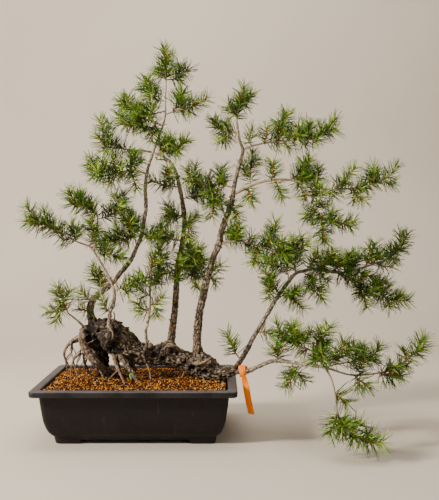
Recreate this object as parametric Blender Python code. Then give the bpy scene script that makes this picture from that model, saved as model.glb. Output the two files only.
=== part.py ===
"""Scots pine grown as a raft bonsai: an old trunk lies on bare roots and carries six younger trunks.

It stands in a shallow black plastic training pot filled with coarse granular soil. Metres, +Z up. The table
is z = 0 and the pot's front faces -Y. The way each trunk and twig runs was read by eye from a photograph,
so its points are places in that picture, in pixels, with a depth in millimetres behind the plant's middle.
Every thickness, length and height is a real size.
"""
import math

import bmesh
import bpy
import numpy as np
from mathutils import Matrix, Vector
from mathutils.bvhtree import BVHTree

MM = 0.001
GAP = 0.35 * MM             # between pieces that touch
SEED = 7
GOLDEN_ANGLE = math.radians(137.5)

# The viewpoint that turns a place in the picture and a depth into a place in space, and the move that
# brings the middle of the whole model's box over the origin
EYE = Vector((0.0, -1.625, 0.423))
EYE_PITCH = math.radians(1.69)
EYE_FOCAL = 780.0
PICTURE_CENTRE = (219.5, 250.0)
CENTRING = Vector((-0.0095, 0.0612, 0.0))

# Pot
POT_CENTRE = Vector((-0.165, -0.006, 0.0))
POT_LENGTH = 0.400
POT_WIDTH = 0.302
CORNER_RADIUS = 12.0 * MM
CORNER_STEPS = 2
FOOT_INSET = 42.0 * MM      # from the rim's edge to the foot ring's outside
FOOT_LENGTH = 50.0 * MM     # of each corner foot, between the arches
FOOT_ARCH = 8.5 * MM
ARCH_REACH = 30.0 * MM      # how far an arch cuts in, through the ring
DRAIN_RADIUS = 7.0 * MM
DRAIN_SIDES = 8
DRAIN_X = 85.0 * MM         # from the pot's middle
DRAIN_Y = 35.0 * MM
FLOOR_MIDDLE = 15.6 * MM    # height of the floor's mid thickness
DRAIN_CUT = 12.0 * MM

# Pot wall, from the middle of the floor's top out over the rim and back under the floor:
# inset from the rim's outside and height, both in mm
POT_INSIDE = [(60, 17), (43, 18), (33.5, 27), (27.6, 41), (24, 60), (19.2, 98), (17.6, 110)]
POT_RIM = [(2.4, 110), (0.7, 109), (0, 107), (0.8, 98.5), (3.8, 98.5), (4.2, 106.5), (15.4, 106.5)]
POT_OUTSIDE = [(16, 98.5), (20.8, 60), (24.4, 40), (31, 24), (39.6, 14.6), (40.6, 12.6), (43, 0)]
POT_UNDER = [(47, 0), (47.5, 14)]

# Soil
SOIL_TOP = 0.105
SOIL_EDGE = 1.5 * MM        # how far the top drops at the pot's wall
SOIL_DOME = 3.0 * MM
SOIL_RELIEF = 1.3 * MM
SOIL_RINGS = 6
SOIL_REACH = 0.112          # from the outermost ring of the top to the innermost
SOIL_SPREAD = 0.92          # power that draws the outer rings closer together
SOIL_STATIONS = 30
SOIL_UNDER = [(60, 17), (44, 18.6), (34.4, 27.6), (24.8, 60), (20, 97), (19, 102.5)]
SOIL_WANDER = 1.6           # relief sideways, as a share of the relief in height
SOIL_RIM = 22.0 * MM        # inset of the top's outermost ring
ROOT_SINK = 18.0 * MM       # how deep a root runs into the soil
UNEVEN_OVER = 4.0           # thickness from which a limb swells and narrows, in mm
UNEVEN = (0.92, 1.1)
ROUNDER_OVER = (2.5 * MM, 5.6 * MM)     # thicknesses from which a tube has more sides

# Needles and the slim twigs that carry them
NEEDLE_LENGTH = 27.0 * MM
PENDANT_NEEDLE = 33.0 * MM
NEEDLE_STEP = 5.0 * MM
BARE_STEP = 24.0 * MM
LEAFY_LEADER = 20.0 * MM    # stretch with needles at the end of a spray's first shoot
LEAFY_SIDE = 15.0 * MM      # and at the end of its side shoots
TWIG_ROOT = 1.7 * MM
TWIG_TIP = 1.15 * MM
TWIG_LEADER = 0.12          # length of the longest leading shoot that is no thicker than TWIG_ROOT
TWIG_SIDE = 0.85            # side shoots, as a share of TWIG_ROOT
BUD = 6.0 * MM
LONGEST_BARE = 0.6          # of a shoot's length, without needles
NEEDLE_TRIES = (1.0, 0.95, 0.8, 0.6)    # shares of its length at which a needle is tried for room
LEAN_SCATTER = math.radians(7)
LEAN_STEP = math.radians(6)  # how much more a needle may turn at each further try
NEEDLE_SCATTER = 0.12       # in length, and sideways
NEEDLE_START = 3.0 * MM     # how far from its twig a needle keeps clear of its neighbours
NEEDLE_POINT = 0.1 * MM
LOWEST_NEEDLE = 4.0 * MM    # over the table
NEAR_ENOUGH = 18.0 * MM     # round a needle, where others are looked at
MOST_SOLIDS = 60000
DRAW_IN = 0.6               # of its length, for a needle that crosses another
DRAWS_IN = 12
NEEDLE_FOOT = 1.5 * MM      # half the width of a needle pair where it leaves the twig
NEEDLE_CLEAR = 0.35 * MM
SWEEP_BASE = math.radians(62)
SWEEP_TIP = math.radians(30)

# The raft: x, y, depth, radius in mm
RAFT = [
    (88, 337, 0, 24), (98, 335, 0, 31), (108, 334, 0, 34), (117, 339.5, -2, 31.5), (124, 346, -3, 30),
    (131, 350.5, -3, 27), (142, 354.5, -2, 23), (151, 357, 0, 19), (162, 354, 4, 24), (170, 355, 5, 23),
    (178, 358, 4, 20), (190, 362, 3, 22), (201, 365, 3, 27), (210, 369.5, -6, 23), (218, 372.3, -15, 16.5),
    (224, 372.2, -21, 12.6), (228, 372.1, -25, 12), (233.5, 371.9, -28, 9), (237, 371.6, -29, 6.4),
]

# Trunks and bare branches: parent, thickness as radius in mm at root and tip, and the way they run
LIMBS = {
    "mass_left": ("raft", 17, 11, [(97, 338), (87, 331), (84.5, 335, -4)]),
    "mass_front": ("raft", 18, 11, [(112, 337), (105.5, 338, -24), (110, 346, -28), (118, 351, -24)]),
    "mass_under": ("raft", 15, 8, [(103, 342, 6), (102.5, 352, 12), (104.5, 361, 18), (106, 367, 24)]),
    "tall_flare": ("raft", 22, 8, [(99, 338, 0), (94, 326), (91.5, 316, 0)]),
    "tall_trunk": ("raft", 8.2, 1.7, [
        (95, 330, 0), (91.5, 318), (90.6, 306), (95, 297), (101, 292), (107, 287), (113, 282),
        (119, 274.5, 8),
        (125.5, 267), (131, 260), (135.5, 250), (141, 237), (143.6, 223), (146, 207), (145.3, 189),
        (146.8, 173), (151, 159), (156.8, 142), (161.8, 129), (165, 117), (165.5, 100), (166, 83, -4)]),
    "lean_trunk": ("raft", 5.8, 2.2, [
        (107.5, 343, -38), (109.5, 335, -40), (109.5, 328), (109.4, 320, -30), (110, 312), (112.9, 305),
        (114.4, 296), (112.3, 284.5),
        (105.5, 272, -15), (98, 258), (90, 247), (80, 243, -20)]),
    "back_trunk": ("raft", 8.6, 2.0, [
        (170, 352, 8), (171.3, 338), (173.6, 321), (175.5, 303), (176.4, 284.5), (178, 265, 24), (181, 250),
        (184, 230), (184.5, 217), (182.7, 203), (180, 190), (176.8, 175.5), (172, 164.5, 38), (163.6, 157),
        (153, 152.5, 36), (142, 150.6), (131, 150, 26)]),
    "thin_trunk": ("raft", 3.2, 1.6, [
        (143.6, 356.5, -21), (145.4, 350.5, -26), (147, 343.5), (145.9, 332), (148.4, 320),
        (150.2, 305), (150.2, 290), (151, 271, -22)]),
    "mid_flare": ("raft", 22, 9, [(203, 364, 3), (198, 353), (197, 342, 3)]),
    "mid_trunk": ("raft", 11.0, 2.7, [
        (199, 358, 4), (197, 343), (198, 326), (200, 310), (203.5, 294), (207.7, 276), (212.5, 260),
        (218.6, 244.5), (221.5, 231), (227, 215), (232, 201), (234, 188), (237.3, 172), (240.5, 161),
        (242.9, 150), (240, 142), (238.5, 134), (236.8, 122, -12)]),
    "slant_trunk": ("raft", 6.2, 2.0, [
        (234, 371, -28), (241, 360), (246.4, 351), (253.6, 337), (261, 324.5), (269, 311), (277.3, 297),
        (287, 283.6), (295.5, 273.6, 28), (303, 271), (315.5, 268.6), (325, 271), (337, 272.7),
        (350, 271.3), (361, 268), (371, 265.2), (382.7, 261, 54)]),
    "low_branch": ("raft", 5.6, 3.2, [
        (236, 371.6, -29), (247, 371.5), (257, 367), (269, 362), (279, 360.5, -60), (294.5, 362.7),
        (310, 365), (327, 367.5, -135)]),
    "low_branch_right": ("low_branch", 2.7, 1.8, [
        (326, 367.4), (336.4, 371), (349, 374.7), (361.6, 375, -126)]),
    "lean_stem": ("lean_trunk", 2.4, 1.8, [(93.8, 252), (95.3, 240), (96.2, 229), (97.7, 222, -24)]),
    "left_stem": ("mass_left", 3.4, 1.8, [(87, 331), (81, 324), (75.5, 319), (68, 313, -18)]),
    "raft_stub": ("raft", 7, 5, [(124, 340), (127, 330), (127.3, 327.5, -6)]),
    "raft_knob": ("raft", 8, 6, [(151, 354), (150.5, 346), (150.3, 343.6, -4)]),
    "raft_burl": ("raft", 12, 9, [(163, 353), (168.5, 345, -8), (174, 347, -6)]),
}

# Bare roots that the plant stands on; each ends in the soil, which gives its last depth
ROOTS = {
    "thick_root": (7.6, 6.2, [
        (85, 330, -18), (82.6, 335.5, -28), (82.8, 342), (84.8, 348), (89.5, 355.5), (96, 362.7, -34),
        (103.5, 368.8), (118, 376.5)]),
    "root_inner": (4.4, 2.4, [(90, 338, -6), (93.5, 350), (97, 357, -4), (103, 366), (108, 372)]),
    "root_under_mass": (5.4, 2.2, [(110.5, 348, -26), (113, 355), (118.5, 370), (124.6, 384)]),
    "root_front": (7.6, 3.4, [
        (116, 349, -24), (119, 354), (124, 361), (129, 368.5), (133, 374), (138.5, 383)]),
    "thin_root": (3.0, 1.6, [
        (143.8, 355, -21), (144.6, 360, -28), (147.6, 366), (149.8, 372), (151, 382.5)]),
    "thin_root_side": (1.9, 1.2, [(147, 365, -32), (152, 368), (158, 371), (164.5, 374.6)]),
    "root_back": (7, 3.6, [(108, 342, 24), (103, 359, 34), (97, 372)]),
    "root_back_far": (7, 3.4, [(122, 346, 22), (128, 358, 40), (133, 366), (136, 371)]),
    "root_flare": (6, 3.4, [(196, 366, 16), (193, 372, 30), (188, 375)]),
    "root_low": (3.2, 1.8, [(98, 350, 10), (98, 361), (100.5, 371), (104.6, 381)]),
    "root_thin_1": (3, 1.4, [(80, 338, -20), (72, 342), (71.5, 352), (66.4, 359), (68, 375)]),
    "root_thin_2": (3, 1.4, [(80, 340, -10), (68.6, 345), (64.5, 355), (68, 364), (72, 374)]),
    "root_thin_3": (3, 1.4, [(82, 347, -26), (79.5, 354), (73, 361), (76, 370), (78, 382)]),
    "root_thin_4": (3, 1.6, [(84, 349, -20), (84, 362), (88, 370), (86, 377)]),
    "root_thin_5": (2.6, 1.4, [(88.5, 356, -30), (85.5, 364), (90, 374), (97, 377)]),
}

# Leafy twigs: parent, then shoots; a shoot is its bare length in mm and the way it runs, and the first
# shoot of a spray grows from the parent, the others from a shoot before them
SPRAYS = {
    "tall_crown": ("tall_trunk", [
        (5, [(166, 83), (165.2, 68), (164.5, 50, -12)]),
        (10, [(165.8, 80), (174.5, 79), (181, 75.5), (187, 70, 16)]),
        (5, [(165.5, 76), (161, 76), (157.5, 73, 14)])]),
    "tall_left_2": ("tall_trunk", [(10, [(165.4, 101), (156, 98.6), (150, 91), (144.5, 82, 28)])]),
    "tall_right_2": ("tall_trunk", [
        (16, [(165, 115), (176.4, 110.5), (192.7, 107), (205.5, 99, -34)]),
        (4, [(174, 111.3), (177.7, 101), (181, 92, -6)])]),
    "tall_left_3": ("tall_trunk", [
        (20, [(165.2, 111), (152, 114.5), (142.7, 117.3), (134.5, 112), (126, 106), (121, 100, 40)]),
        (3, [(139.5, 115.3), (139, 110), (140.5, 105, 0)]),
        (3, [(152, 114.5), (151.5, 110), (152.5, 105, -10)])]),
    "tall_left_4": ("tall_trunk", [
        (18, [(162.5, 126), (151, 120.3), (138, 123), (127, 125.5), (121.4, 122.7), (119.5, 116, -36)]),
        (8, [(156, 122.5), (153, 132), (152, 140, -26)])]),
    "tall_right_3": ("tall_trunk", [
        (12, [(152.5, 154), (165.5, 151), (177, 147.7), (186, 140.5, -38)]),
        (3, [(162, 151.8), (165, 146), (167, 140, -40)])]),
    "tall_left_6": ("tall_trunk", [
        (20, [(146.8, 174), (133.6, 170), (121, 172.7), (106, 175.4), (95.5, 172), (88, 165, -48)]),
        (3, [(118, 173.2), (115, 166), (113, 158, -20)]),
        (3, [(129, 171), (134.5, 161), (135, 153, 2)]),
        (3, [(131, 170.5), (134, 180), (136.5, 188, -36)])]),
    "tall_left_7": ("tall_trunk", [
        (6, [(143, 229), (136, 224), (130, 214.5, 26)]),
        (1, [(136.5, 224.3), (130, 222), (124, 218.5, -4)])]),
    "tall_left_8": ("tall_trunk", [
        (10, [(141.5, 236), (131, 238), (114.5, 240.6), (96, 241.5, 34)]),
        (3, [(119, 240), (117.5, 235), (117, 229, 46)]),
        (3, [(132, 237.8), (131, 231), (130, 223, -28)])]),
    "tall_base": ("tall_trunk", [(3, [(92, 302), (87, 298), (81, 291.5, 16)])]),
    "tall_behind": ("tall_trunk", [(4, [(101, 292), (99.5, 280), (94, 267, 34)])]),
    "back_left_5": ("back_trunk", [
        (5, [(131, 150), (117, 148), (105.5, 146), (97, 136, 4)]),
        (4, [(118, 148.2), (109, 137), (103, 128), (100, 120.5, 34)])]),
    "back_left_1": ("back_trunk", [
        (10, [(179, 187), (165, 185), (151.5, 180.5, 16)]),
        (2, [(171, 185.9), (169.5, 178), (168.5, 170, -4)])]),
    "back_right_2": ("back_trunk", [
        (10, [(182, 199.5), (194.5, 195), (204.5, 197), (216, 202), (227, 205, 6)]),
        (3, [(190, 196.6), (195, 190.5), (200, 186, 54)])]),
    "back_left_2": ("back_trunk", [
        (5, [(184.5, 218), (173, 212), (168.5, 206, 52)]),
        (3, [(178.5, 214.9), (171, 219), (166, 224.5, 24)])]),
    "back_right_3": ("back_trunk", [
        (5, [(184.3, 224), (191, 221), (197, 215.5, 22)]),
        (3, [(188, 222.2), (188.5, 230), (188, 237, -6)])]),
    "back_left_3": ("back_trunk", [
        (8, [(182.5, 240.5), (170, 238.5), (159, 227, 6)]),
        (3, [(171, 238.6), (163, 238), (154, 234.5, 38)])]),
    "back_left_4": ("back_trunk", [
        (10, [(177.7, 268), (166, 273), (153, 278), (141, 276, 2)]),
        (5, [(160.5, 275.2), (160.3, 262), (161.5, 243.5, 8)])]),
    "back_right_5": ("back_trunk", [
        (8, [(177.8, 267), (189, 269.5), (204, 272, 6)]),
        (3, [(190, 269.6), (191, 258), (187.5, 246, 40)]),
        (3, [(191, 269.8), (194, 277), (196.5, 286, -10)]),
        (3, [(198, 271.2), (201, 262), (200, 250.5, 8)])]),
    "back_front": ("back_trunk", [(4, [(176.4, 284), (178.5, 275), (179.5, 261, -16)])]),
    "lean_tip": ("lean_trunk", [
        (8, [(80, 243), (68, 237.7), (55.5, 231), (42, 223.6), (32, 214), (28, 208, -46)]),
        (2, [(76, 241.3), (74, 234), (71, 227, 6)]),
        (2, [(50, 228.3), (46, 220), (44, 212, -12)]),
        (2, [(43, 224.4), (35, 224), (28, 221, -62)])]),
    "lean_stem_top": ("lean_stem", [
        (4, [(97.7, 222), (96.5, 213.6), (88, 208), (76.4, 203), (68.5, 192, -44)]),
        (8, [(97.3, 219), (106, 217), (117, 212), (122.7, 202), (123.6, 194.5, 6)]),
        (2, [(87, 207.5), (83, 200), (80, 193, -8)])]),
    "lean_shoot": ("lean_trunk", [(8, [(89.5, 246.8), (91.4, 240), (93, 229), (92.5, 219, -40)])]),
    "lean_right": ("lean_trunk", [(6, [(98, 258), (104.5, 253), (114, 255.5), (122, 256.5, -34)])]),
    "lean_low": ("lean_trunk", [(8, [(113.5, 290.5), (127, 286.5), (138, 283), (145, 281, -36)])]),
    "lean_loop": ("lean_trunk", [(3, [(110, 313), (105, 307), (101, 298, -30)])]),
    "left_low": ("left_stem", [
        (4, [(68, 313), (65, 305.5), (62.7, 299), (58.5, 289, -34)]),
        (3, [(66.5, 309), (60, 312), (48, 311, -10)])]),
    "thin_top": ("thin_trunk", [(3, [(151, 271), (152, 264), (153.5, 255.5, -30)])]),
    "thin_right": ("thin_trunk", [
        (3, [(150.4, 305), (156, 303), (161, 298.5, -36)]),
        (1, [(154, 304), (156, 309), (157, 315, -26)])]),
    "mid_crown": ("mid_trunk", [
        (4, [(236.8, 122), (238.6, 110), (241.8, 98), (244, 88, -16)]),
        (2, [(237.5, 116.5), (233, 113), (229, 106, 6)]),
        (2, [(239.5, 106.5), (246, 102), (251.5, 95, -2)])]),
    "mid_left_1": ("mid_trunk", [
        (6, [(238.3, 133), (227, 132), (219, 128.5), (214, 120.5, 14)]),
        (3, [(230.5, 132.3), (226, 138), (219, 141, -34)])]),
    "mid_right_1": ("mid_trunk", [
        (22, [(242.9, 150), (254, 145.5), (267.7, 142.7), (286, 141), (304, 140), (317, 136.8),
              (326.4, 129.5), (334, 120, -44)]),
        (3, [(299, 140.3), (303, 132.5), (307, 126, -2)]),
        (4, [(277, 141.9), (282, 129), (286, 113.5, 8)]),
        (3, [(264, 143.5), (266, 136), (267, 129, -36)]),
        (4, [(252, 146.5), (249, 141), (251, 133, -30)])]),
    "mid_right_3": ("mid_trunk", [
        (30, [(233, 195), (240.5, 191), (255, 184), (269.5, 180.5), (286, 179.7), (299.5, 182),
              (315, 186.4), (332.7, 190), (348, 188.6), (364.5, 187), (377, 182), (388, 177),
              (394.5, 168.5, -52)]),
        (6, [(250.5, 186.2), (250, 172), (252.5, 153, 14)]),
        (3, [(290, 180), (298.6, 174), (306, 166.5), (308.5, 159, -34)]),
        (2, [(271, 180.5), (273, 173), (273, 164, -40)]),
        (2, [(276, 180.2), (278, 188), (282, 197, 4)]),
        (2, [(316, 186.6), (318, 179), (318, 170, 0)]),
        (3, [(334, 189.9), (343.6, 180), (354.5, 168.5, -46)]),
        (2, [(352, 188.4), (356, 194.5), (364, 200, -58)]),
        (2, [(369, 185.4), (371.5, 177), (373.5, 168, -10)]),
        (2, [(247, 188), (250, 194), (252, 202, -34)]),
        (8, [(306.4, 184), (308, 192), (315.5, 205), (321.4, 220), (325.3, 241, -56)]),
        (4, [(320.6, 218), (333.6, 221), (344.5, 223.6), (353.5, 222, -84)]),
        (2, [(311, 197), (317, 196), (323, 191, -70)]),
        (2, [(317, 208.5), (311, 212), (306, 217, -18)])]),
    "mid_left_2": ("mid_trunk", [
        (8, [(234, 188), (222.7, 185), (209, 184.5), (196, 182), (187, 169, 26)]),
        (3, [(219, 185), (221.5, 177), (222.3, 169, 4)]),
        (4, [(226, 186), (215.5, 190), (213, 201), (212.5, 215, -18)])]),
    "mid_front": ("mid_trunk", [(2, [(230.5, 204.5), (233, 209), (237, 217, -36)])]),
    "mid_right_4": ("mid_trunk", [
        (14, [(218, 246), (228, 242), (241, 241.4), (252.7, 244.5), (266.4, 248), (281, 255),
              (292.7, 252.7), (300.5, 238.5, -60)]),
        (3, [(236, 241.7), (237, 234), (239, 225.5, -40)]),
        (3, [(262, 247), (268, 240.5), (273.6, 231), (275.3, 223, -20)]),
        (3, [(258, 245.9), (258, 252), (254, 261.5, -42)]),
        (2, [(280, 254.4), (281, 248), (281, 241, -76)])]),
    "slant_tip": ("slant_trunk", [(4, [(382.7, 261), (394.5, 253.6), (404, 242), (407, 235, 60)])]),
    "slant_up_1": ("slant_trunk", [(4, [(316, 268.8), (325.5, 262.7), (333, 251.5, 14)])]),
    "slant_up_2": ("slant_trunk", [(4, [(345, 271.8), (350, 263), (356, 256, 70)])]),
    "slant_up_3": ("slant_trunk", [(4, [(365, 266.9), (369.5, 259), (374.5, 244.5, 36)])]),
    "slant_low": ("slant_trunk", [
        (14, [(337, 272.7), (353.6, 279), (372, 289.5), (390, 299.5), (407, 301, 24)]),
        (4, [(358, 281.6), (361.5, 292), (366.5, 305.5, 12)]),
        (3, [(373, 290), (379, 287), (385, 282, 56)])]),
    "slant_down": ("slant_trunk", [
        (10, [(302, 271.2), (310, 278), (316.4, 287), (323, 298.5, 4)]),
        (3, [(308, 276), (311, 280), (309, 288, 40)])]),
    "slant_up_0": ("slant_trunk", [(4, [(295.5, 273.6), (295, 264), (296.3, 253.5, 14)])]),
    "slant_left_arc": ("slant_trunk", [
        (10, [(289, 281.2), (287, 272), (278, 265.5), (266, 264), (257, 261.5, 46)])]),
    "slant_left_low": ("slant_trunk", [
        (6, [(279.5, 294), (272.7, 283), (265.5, 273, 2)]),
        (2, [(275, 286.8), (271.5, 290), (269, 297.5, -14)])]),
    "slant_right_low": ("slant_trunk", [
        (5, [(283, 289), (288, 296), (294, 300), (301, 307, -8)]),
        (2, [(289.5, 297), (293, 292.5), (298, 290, -14)])]),
    "low_thin_shoot": ("slant_trunk", [(16, [(241, 360), (235.5, 353), (232, 346), (227.3, 334.5, -28)])]),
    "low_up_1": ("low_branch", [(5, [(277, 360.8), (278.6, 351), (281.5, 341, -66)])]),
    "low_down_1": ("low_branch", [
        (6, [(292, 362.4), (293, 369), (291.5, 378), (286.5, 387, -100)]),
        (3, [(293, 370), (298, 373), (304, 380, -84)])]),
    "low_fork": ("low_branch", [
        (10, [(316, 365.8), (314, 357), (311, 350.5), (301, 347), (289, 342), (282.7, 336),
              (277, 325, -104)]),
        (6, [(313.5, 355.5), (319, 344), (329, 327.5, -150)]),
        (3, [(295, 344.6), (294, 337), (293.5, 328.5, -152)]),
        (2, [(315, 361), (319, 359.5), (322, 355, -176)])]),
    "low_up_right": ("low_branch", [
        (10, [(326, 367.3), (334, 364.7), (343.7, 363), (359.5, 360.5), (372, 356), (379.5, 347.5, -118)]),
        (6, [(333, 364.9), (340.6, 353), (344.5, 343, -172)]),
        (3, [(353, 361.6), (357.5, 354), (362, 347, -96)])]),
    "low_right_tip": ("low_branch_right", [
        (4, [(361.6, 375), (374, 373.7), (388, 370.5), (403.7, 362.6), (415, 351.6), (424, 339.5, -112)]),
        (2, [(378, 373), (388, 376), (399, 376, -96)])]),
    "low_right_star": ("low_branch_right", [
        (3, [(354, 374.8), (358, 379), (368, 386.5, -154)])]),
    "pendant": ("low_branch", [
        (38, [(325, 367.2), (331.5, 380), (335, 395), (337, 411, -195), (341.6, 423.7), (354, 435),
              (366, 441.6),
              (380, 443, -238)]),
        (3, [(337, 413), (334, 424), (330.5, 433, -214)]),
        (3, [(334.4, 393), (340, 397), (346, 402, -184)])]),
}
PENDANTS = ("pendant",)

# Tag and weed
TAG_PLACE = (242.5, 371.3)
TAG_LOOP = 9.0 * MM         # inner radius of the strip's loop round the branch
TAG_WIDTH = 13.0 * MM
TAG_THICKNESS = 1.0 * MM
TAG_OVERLAP = 0.4 * MM      # how far the hanging end is sunk in the loop
TAG_SEAT = 0.8 * MM         # how far the branch's facets lie inside its round where the loop rests
TAG_STEPS = 12
TAG_ROUTE = [(243.5, 377.4, -45), (246, 387, -49), (248.5, 400, -51), (251.4, 414, -50)]
WEED_PLACE = (128, 377)
WEED_LEAVES = 4
WEED_LEAF = 15.0 * MM
WEED_STEM = 1.1 * MM        # radius
WEED_HEIGHT = 12.0 * MM
WEED_ROOT = 10.0 * MM       # how deep the stem stands in the soil
LEAF_WIDTHS = [(0.0, 0.2), (0.55, 1.0), (0.9, 0.5)]
LEAF_HALF = 0.26            # half a leaf's width, as a share of its length
LEAF_ARCH = 0.25
LEAF_RISE = 0.45            # of the lowest leaf, over the level
LEAF_RISE_STEP = 0.1
LEAF_SINK = 2.0 * MM        # how far below the stem's end the leaves meet


def clear_scene():
    for item in list(bpy.data.objects):
        bpy.data.objects.remove(item, do_unlink=True)


def new_collection(name):
    collection = bpy.data.collections.new(name)
    bpy.context.scene.collection.children.link(collection)
    return collection


def new_material(name, colour, roughness, metallic=0.0):
    material = bpy.data.materials.new(name)
    material.use_nodes = True
    shader = material.node_tree.nodes["Principled BSDF"]
    shader.inputs["Base Color"].default_value = (*colour, 1.0)
    shader.inputs["Roughness"].default_value = roughness
    shader.inputs["Metallic"].default_value = metallic
    return material


def new_object(name, mesh, collection, material=None):
    item = bpy.data.objects.new(name, mesh)
    collection.objects.link(item)
    if material:
        mesh.materials.clear()
        mesh.materials.append(material)
    return item


def sight_line(x, y):
    """Direction in which the eye sees a place of the picture, one unit deep."""
    side = (x - PICTURE_CENTRE[0]) / EYE_FOCAL
    rise = (PICTURE_CENTRE[1] - y) / EYE_FOCAL
    ray = Vector((side, math.cos(EYE_PITCH) + rise * math.sin(EYE_PITCH),
                  rise * math.cos(EYE_PITCH) - math.sin(EYE_PITCH)))
    return ray / ray.y


def seen(x, y, depth):
    """Place in space of a place in the picture, depth mm behind the middle of the plant."""
    return EYE + sight_line(x, y) * (depth * MM - EYE.y) + CENTRING


def depth_on_soil(x, y):
    """Depth in mm at which the eye sees the soil's surface."""
    return ((SOIL_TOP - EYE.z) / sight_line(x, y).z + EYE.y) / MM


def traced(points, first_depth):
    """Pixels with a depth for each: given at some points, spread evenly between them."""
    flat = np.array([point[:2] for point in points], float)
    along = np.concatenate(([0.0], np.cumsum(np.linalg.norm(np.diff(flat, axis=0), axis=1))))
    keys = [(along[i], point[2]) for i, point in enumerate(points) if len(point) == 3]
    if len(points[0]) == 2:
        keys.insert(0, (0.0, first_depth))
    stops, depths = zip(*keys)
    return np.column_stack((flat, np.interp(along, stops, depths)))


def nearest_on(trace, x, y):
    """Distance in the picture from a traced route to x, y, and the route's depth there."""
    best = (math.inf, 0.0)
    for start, end in zip(trace[:-1], trace[1:]):
        step = end[:2] - start[:2]
        share = np.clip(np.dot((x, y) - start[:2], step) / max(np.dot(step, step), 1e-9), 0, 1)
        place = start + (end - start) * share
        best = min(best, (math.dist(place[:2], (x, y)), place[2]))
    return best


def wood_routes():
    """Every trunk, branch and root as its trace, its places in space and its radii."""
    random = np.random.default_rng(SEED)
    routes = {"raft": (np.array([row[:3] for row in RAFT], float), [row[3] * MM for row in RAFT])}
    for name, (parent, root, tip, points) in LIMBS.items():
        trace = traced(points, nearest_on(routes[parent][0], *points[0][:2])[1])
        radii = np.linspace(root, tip, len(trace)) * MM
        if root > UNEVEN_OVER:
            radii = radii * random.uniform(*UNEVEN, len(radii))
        routes[name] = (trace, list(radii))
    for name, (root, tip, points) in ROOTS.items():
        end = points[-1]
        trace = traced([*points[:-1], (*end[:2], depth_on_soil(*end[:2]))], 0.0)
        routes[name] = (trace, list(np.linspace(root, tip, len(trace)) * MM))
    placed = {}
    for name, (trace, radii) in routes.items():
        places = [seen(*row) for row in trace]
        if name in ROOTS:
            places.append(places[-1] - Vector((0, 0, ROOT_SINK)))
            radii.append(radii[-1])
        placed[name] = (trace, places, radii)
    return placed


def tube(name, places, radii, collection, grow=0.0):
    """A tapering tube with closed ends, as a mesh object; grow makes it larger all round."""
    curve = bpy.data.curves.new(name, "CURVE")
    curve.dimensions = "3D"
    curve.bevel_depth = MM
    thick = max(radii)
    curve.bevel_resolution = sum(thick > step for step in ROUNDER_OVER)
    curve.use_fill_caps = True
    spline = curve.splines.new("POLY")
    spline.points.add(len(places) - 1)
    ends = [places[0] + (places[0] - places[1]).normalized() * grow, *places[1:-1],
            places[-1] + (places[-1] - places[-2]).normalized() * grow]
    for point, place, radius in zip(spline.points, ends, radii):
        point.co = (*place, 1.0)
        point.radius = (radius + grow) / MM
    item = bpy.data.objects.new(name, curve)
    collection.objects.link(item)
    bpy.context.view_layer.update()
    evaluated = item.evaluated_get(bpy.context.evaluated_depsgraph_get())
    mesh = bpy.data.meshes.new_from_object(evaluated)
    placing = item.matrix_world.copy()
    bpy.data.objects.remove(item)
    bpy.data.curves.remove(curve)
    solid = new_object(name, mesh, collection)
    solid.matrix_world = placing
    weld(solid.data)
    return solid


def weld(mesh):
    shape = bmesh.new()
    shape.from_mesh(mesh)
    bmesh.ops.remove_doubles(shape, verts=shape.verts, dist=0.00002)
    bmesh.ops.recalc_face_normals(shape, faces=shape.faces)
    shape.to_mesh(mesh)
    shape.free()


def applied(item):
    """Fixes an object's modifiers in its mesh."""
    bpy.context.view_layer.update()
    evaluated = item.evaluated_get(bpy.context.evaluated_depsgraph_get())
    mesh = bpy.data.meshes.new_from_object(evaluated)
    item.modifiers.clear()
    item.data = mesh
    return item


def combined(item, others, operation="UNION"):
    """Joins a collection's solids to an object, or cuts them from it, and removes them."""
    step = item.modifiers.new(operation.title(), "BOOLEAN")
    step.operation = operation
    step.operand_type = "COLLECTION"
    step.collection = others
    step.solver = "MANIFOLD"
    applied(item)
    for other in list(others.objects):
        bpy.data.objects.remove(other, do_unlink=True)
    bpy.data.collections.remove(others)
    return item


def cut_by(item, cutter):
    step = item.modifiers.new("Clearance", "BOOLEAN")
    step.operation = "DIFFERENCE"
    step.object = cutter
    step.solver = "MANIFOLD"
    return applied(item)


def keep_largest(mesh):
    """Drops the loose scraps that a cut leaves."""
    shape = bmesh.new()
    shape.from_mesh(mesh)
    bmesh.ops.triangulate(shape, faces=shape.faces)
    waiting = set(shape.verts)
    pieces = []
    while waiting:
        front = [waiting.pop()]
        piece = set(front)
        while front:
            for edge in front.pop().link_edges:
                for vertex in edge.verts:
                    if vertex in waiting:
                        waiting.discard(vertex)
                        piece.add(vertex)
                        front.append(vertex)
        pieces.append(piece)
    largest = max(pieces, key=len)
    bmesh.ops.delete(shape, geom=[vertex for vertex in shape.verts if vertex not in largest], context="VERTS")
    shape.to_mesh(mesh)
    shape.free()


def loft(name, rings, collection, material):
    """Closed solid through rings of equally many points, its two ends closed to their middles."""
    shape = bmesh.new()
    rows = [[shape.verts.new(point) for point in ring] for ring in rings]
    count = len(rows[0])
    for lower, upper in zip(rows[:-1], rows[1:]):
        for i in range(count):
            j = (i + 1) % count
            shape.faces.new((lower[i], lower[j], upper[j], upper[i]))
    for row in (rows[0], rows[-1]):
        middle = shape.verts.new(sum((vertex.co for vertex in row), Vector()) / count)
        for i in range(count):
            shape.faces.new((row[i], row[(i + 1) % count], middle))
    bmesh.ops.recalc_face_normals(shape, faces=shape.faces)
    bmesh.ops.triangulate(shape, faces=shape.faces)
    mesh = bpy.data.meshes.new(name)
    shape.to_mesh(mesh)
    shape.free()
    return new_object(name, mesh, collection, material)


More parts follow.
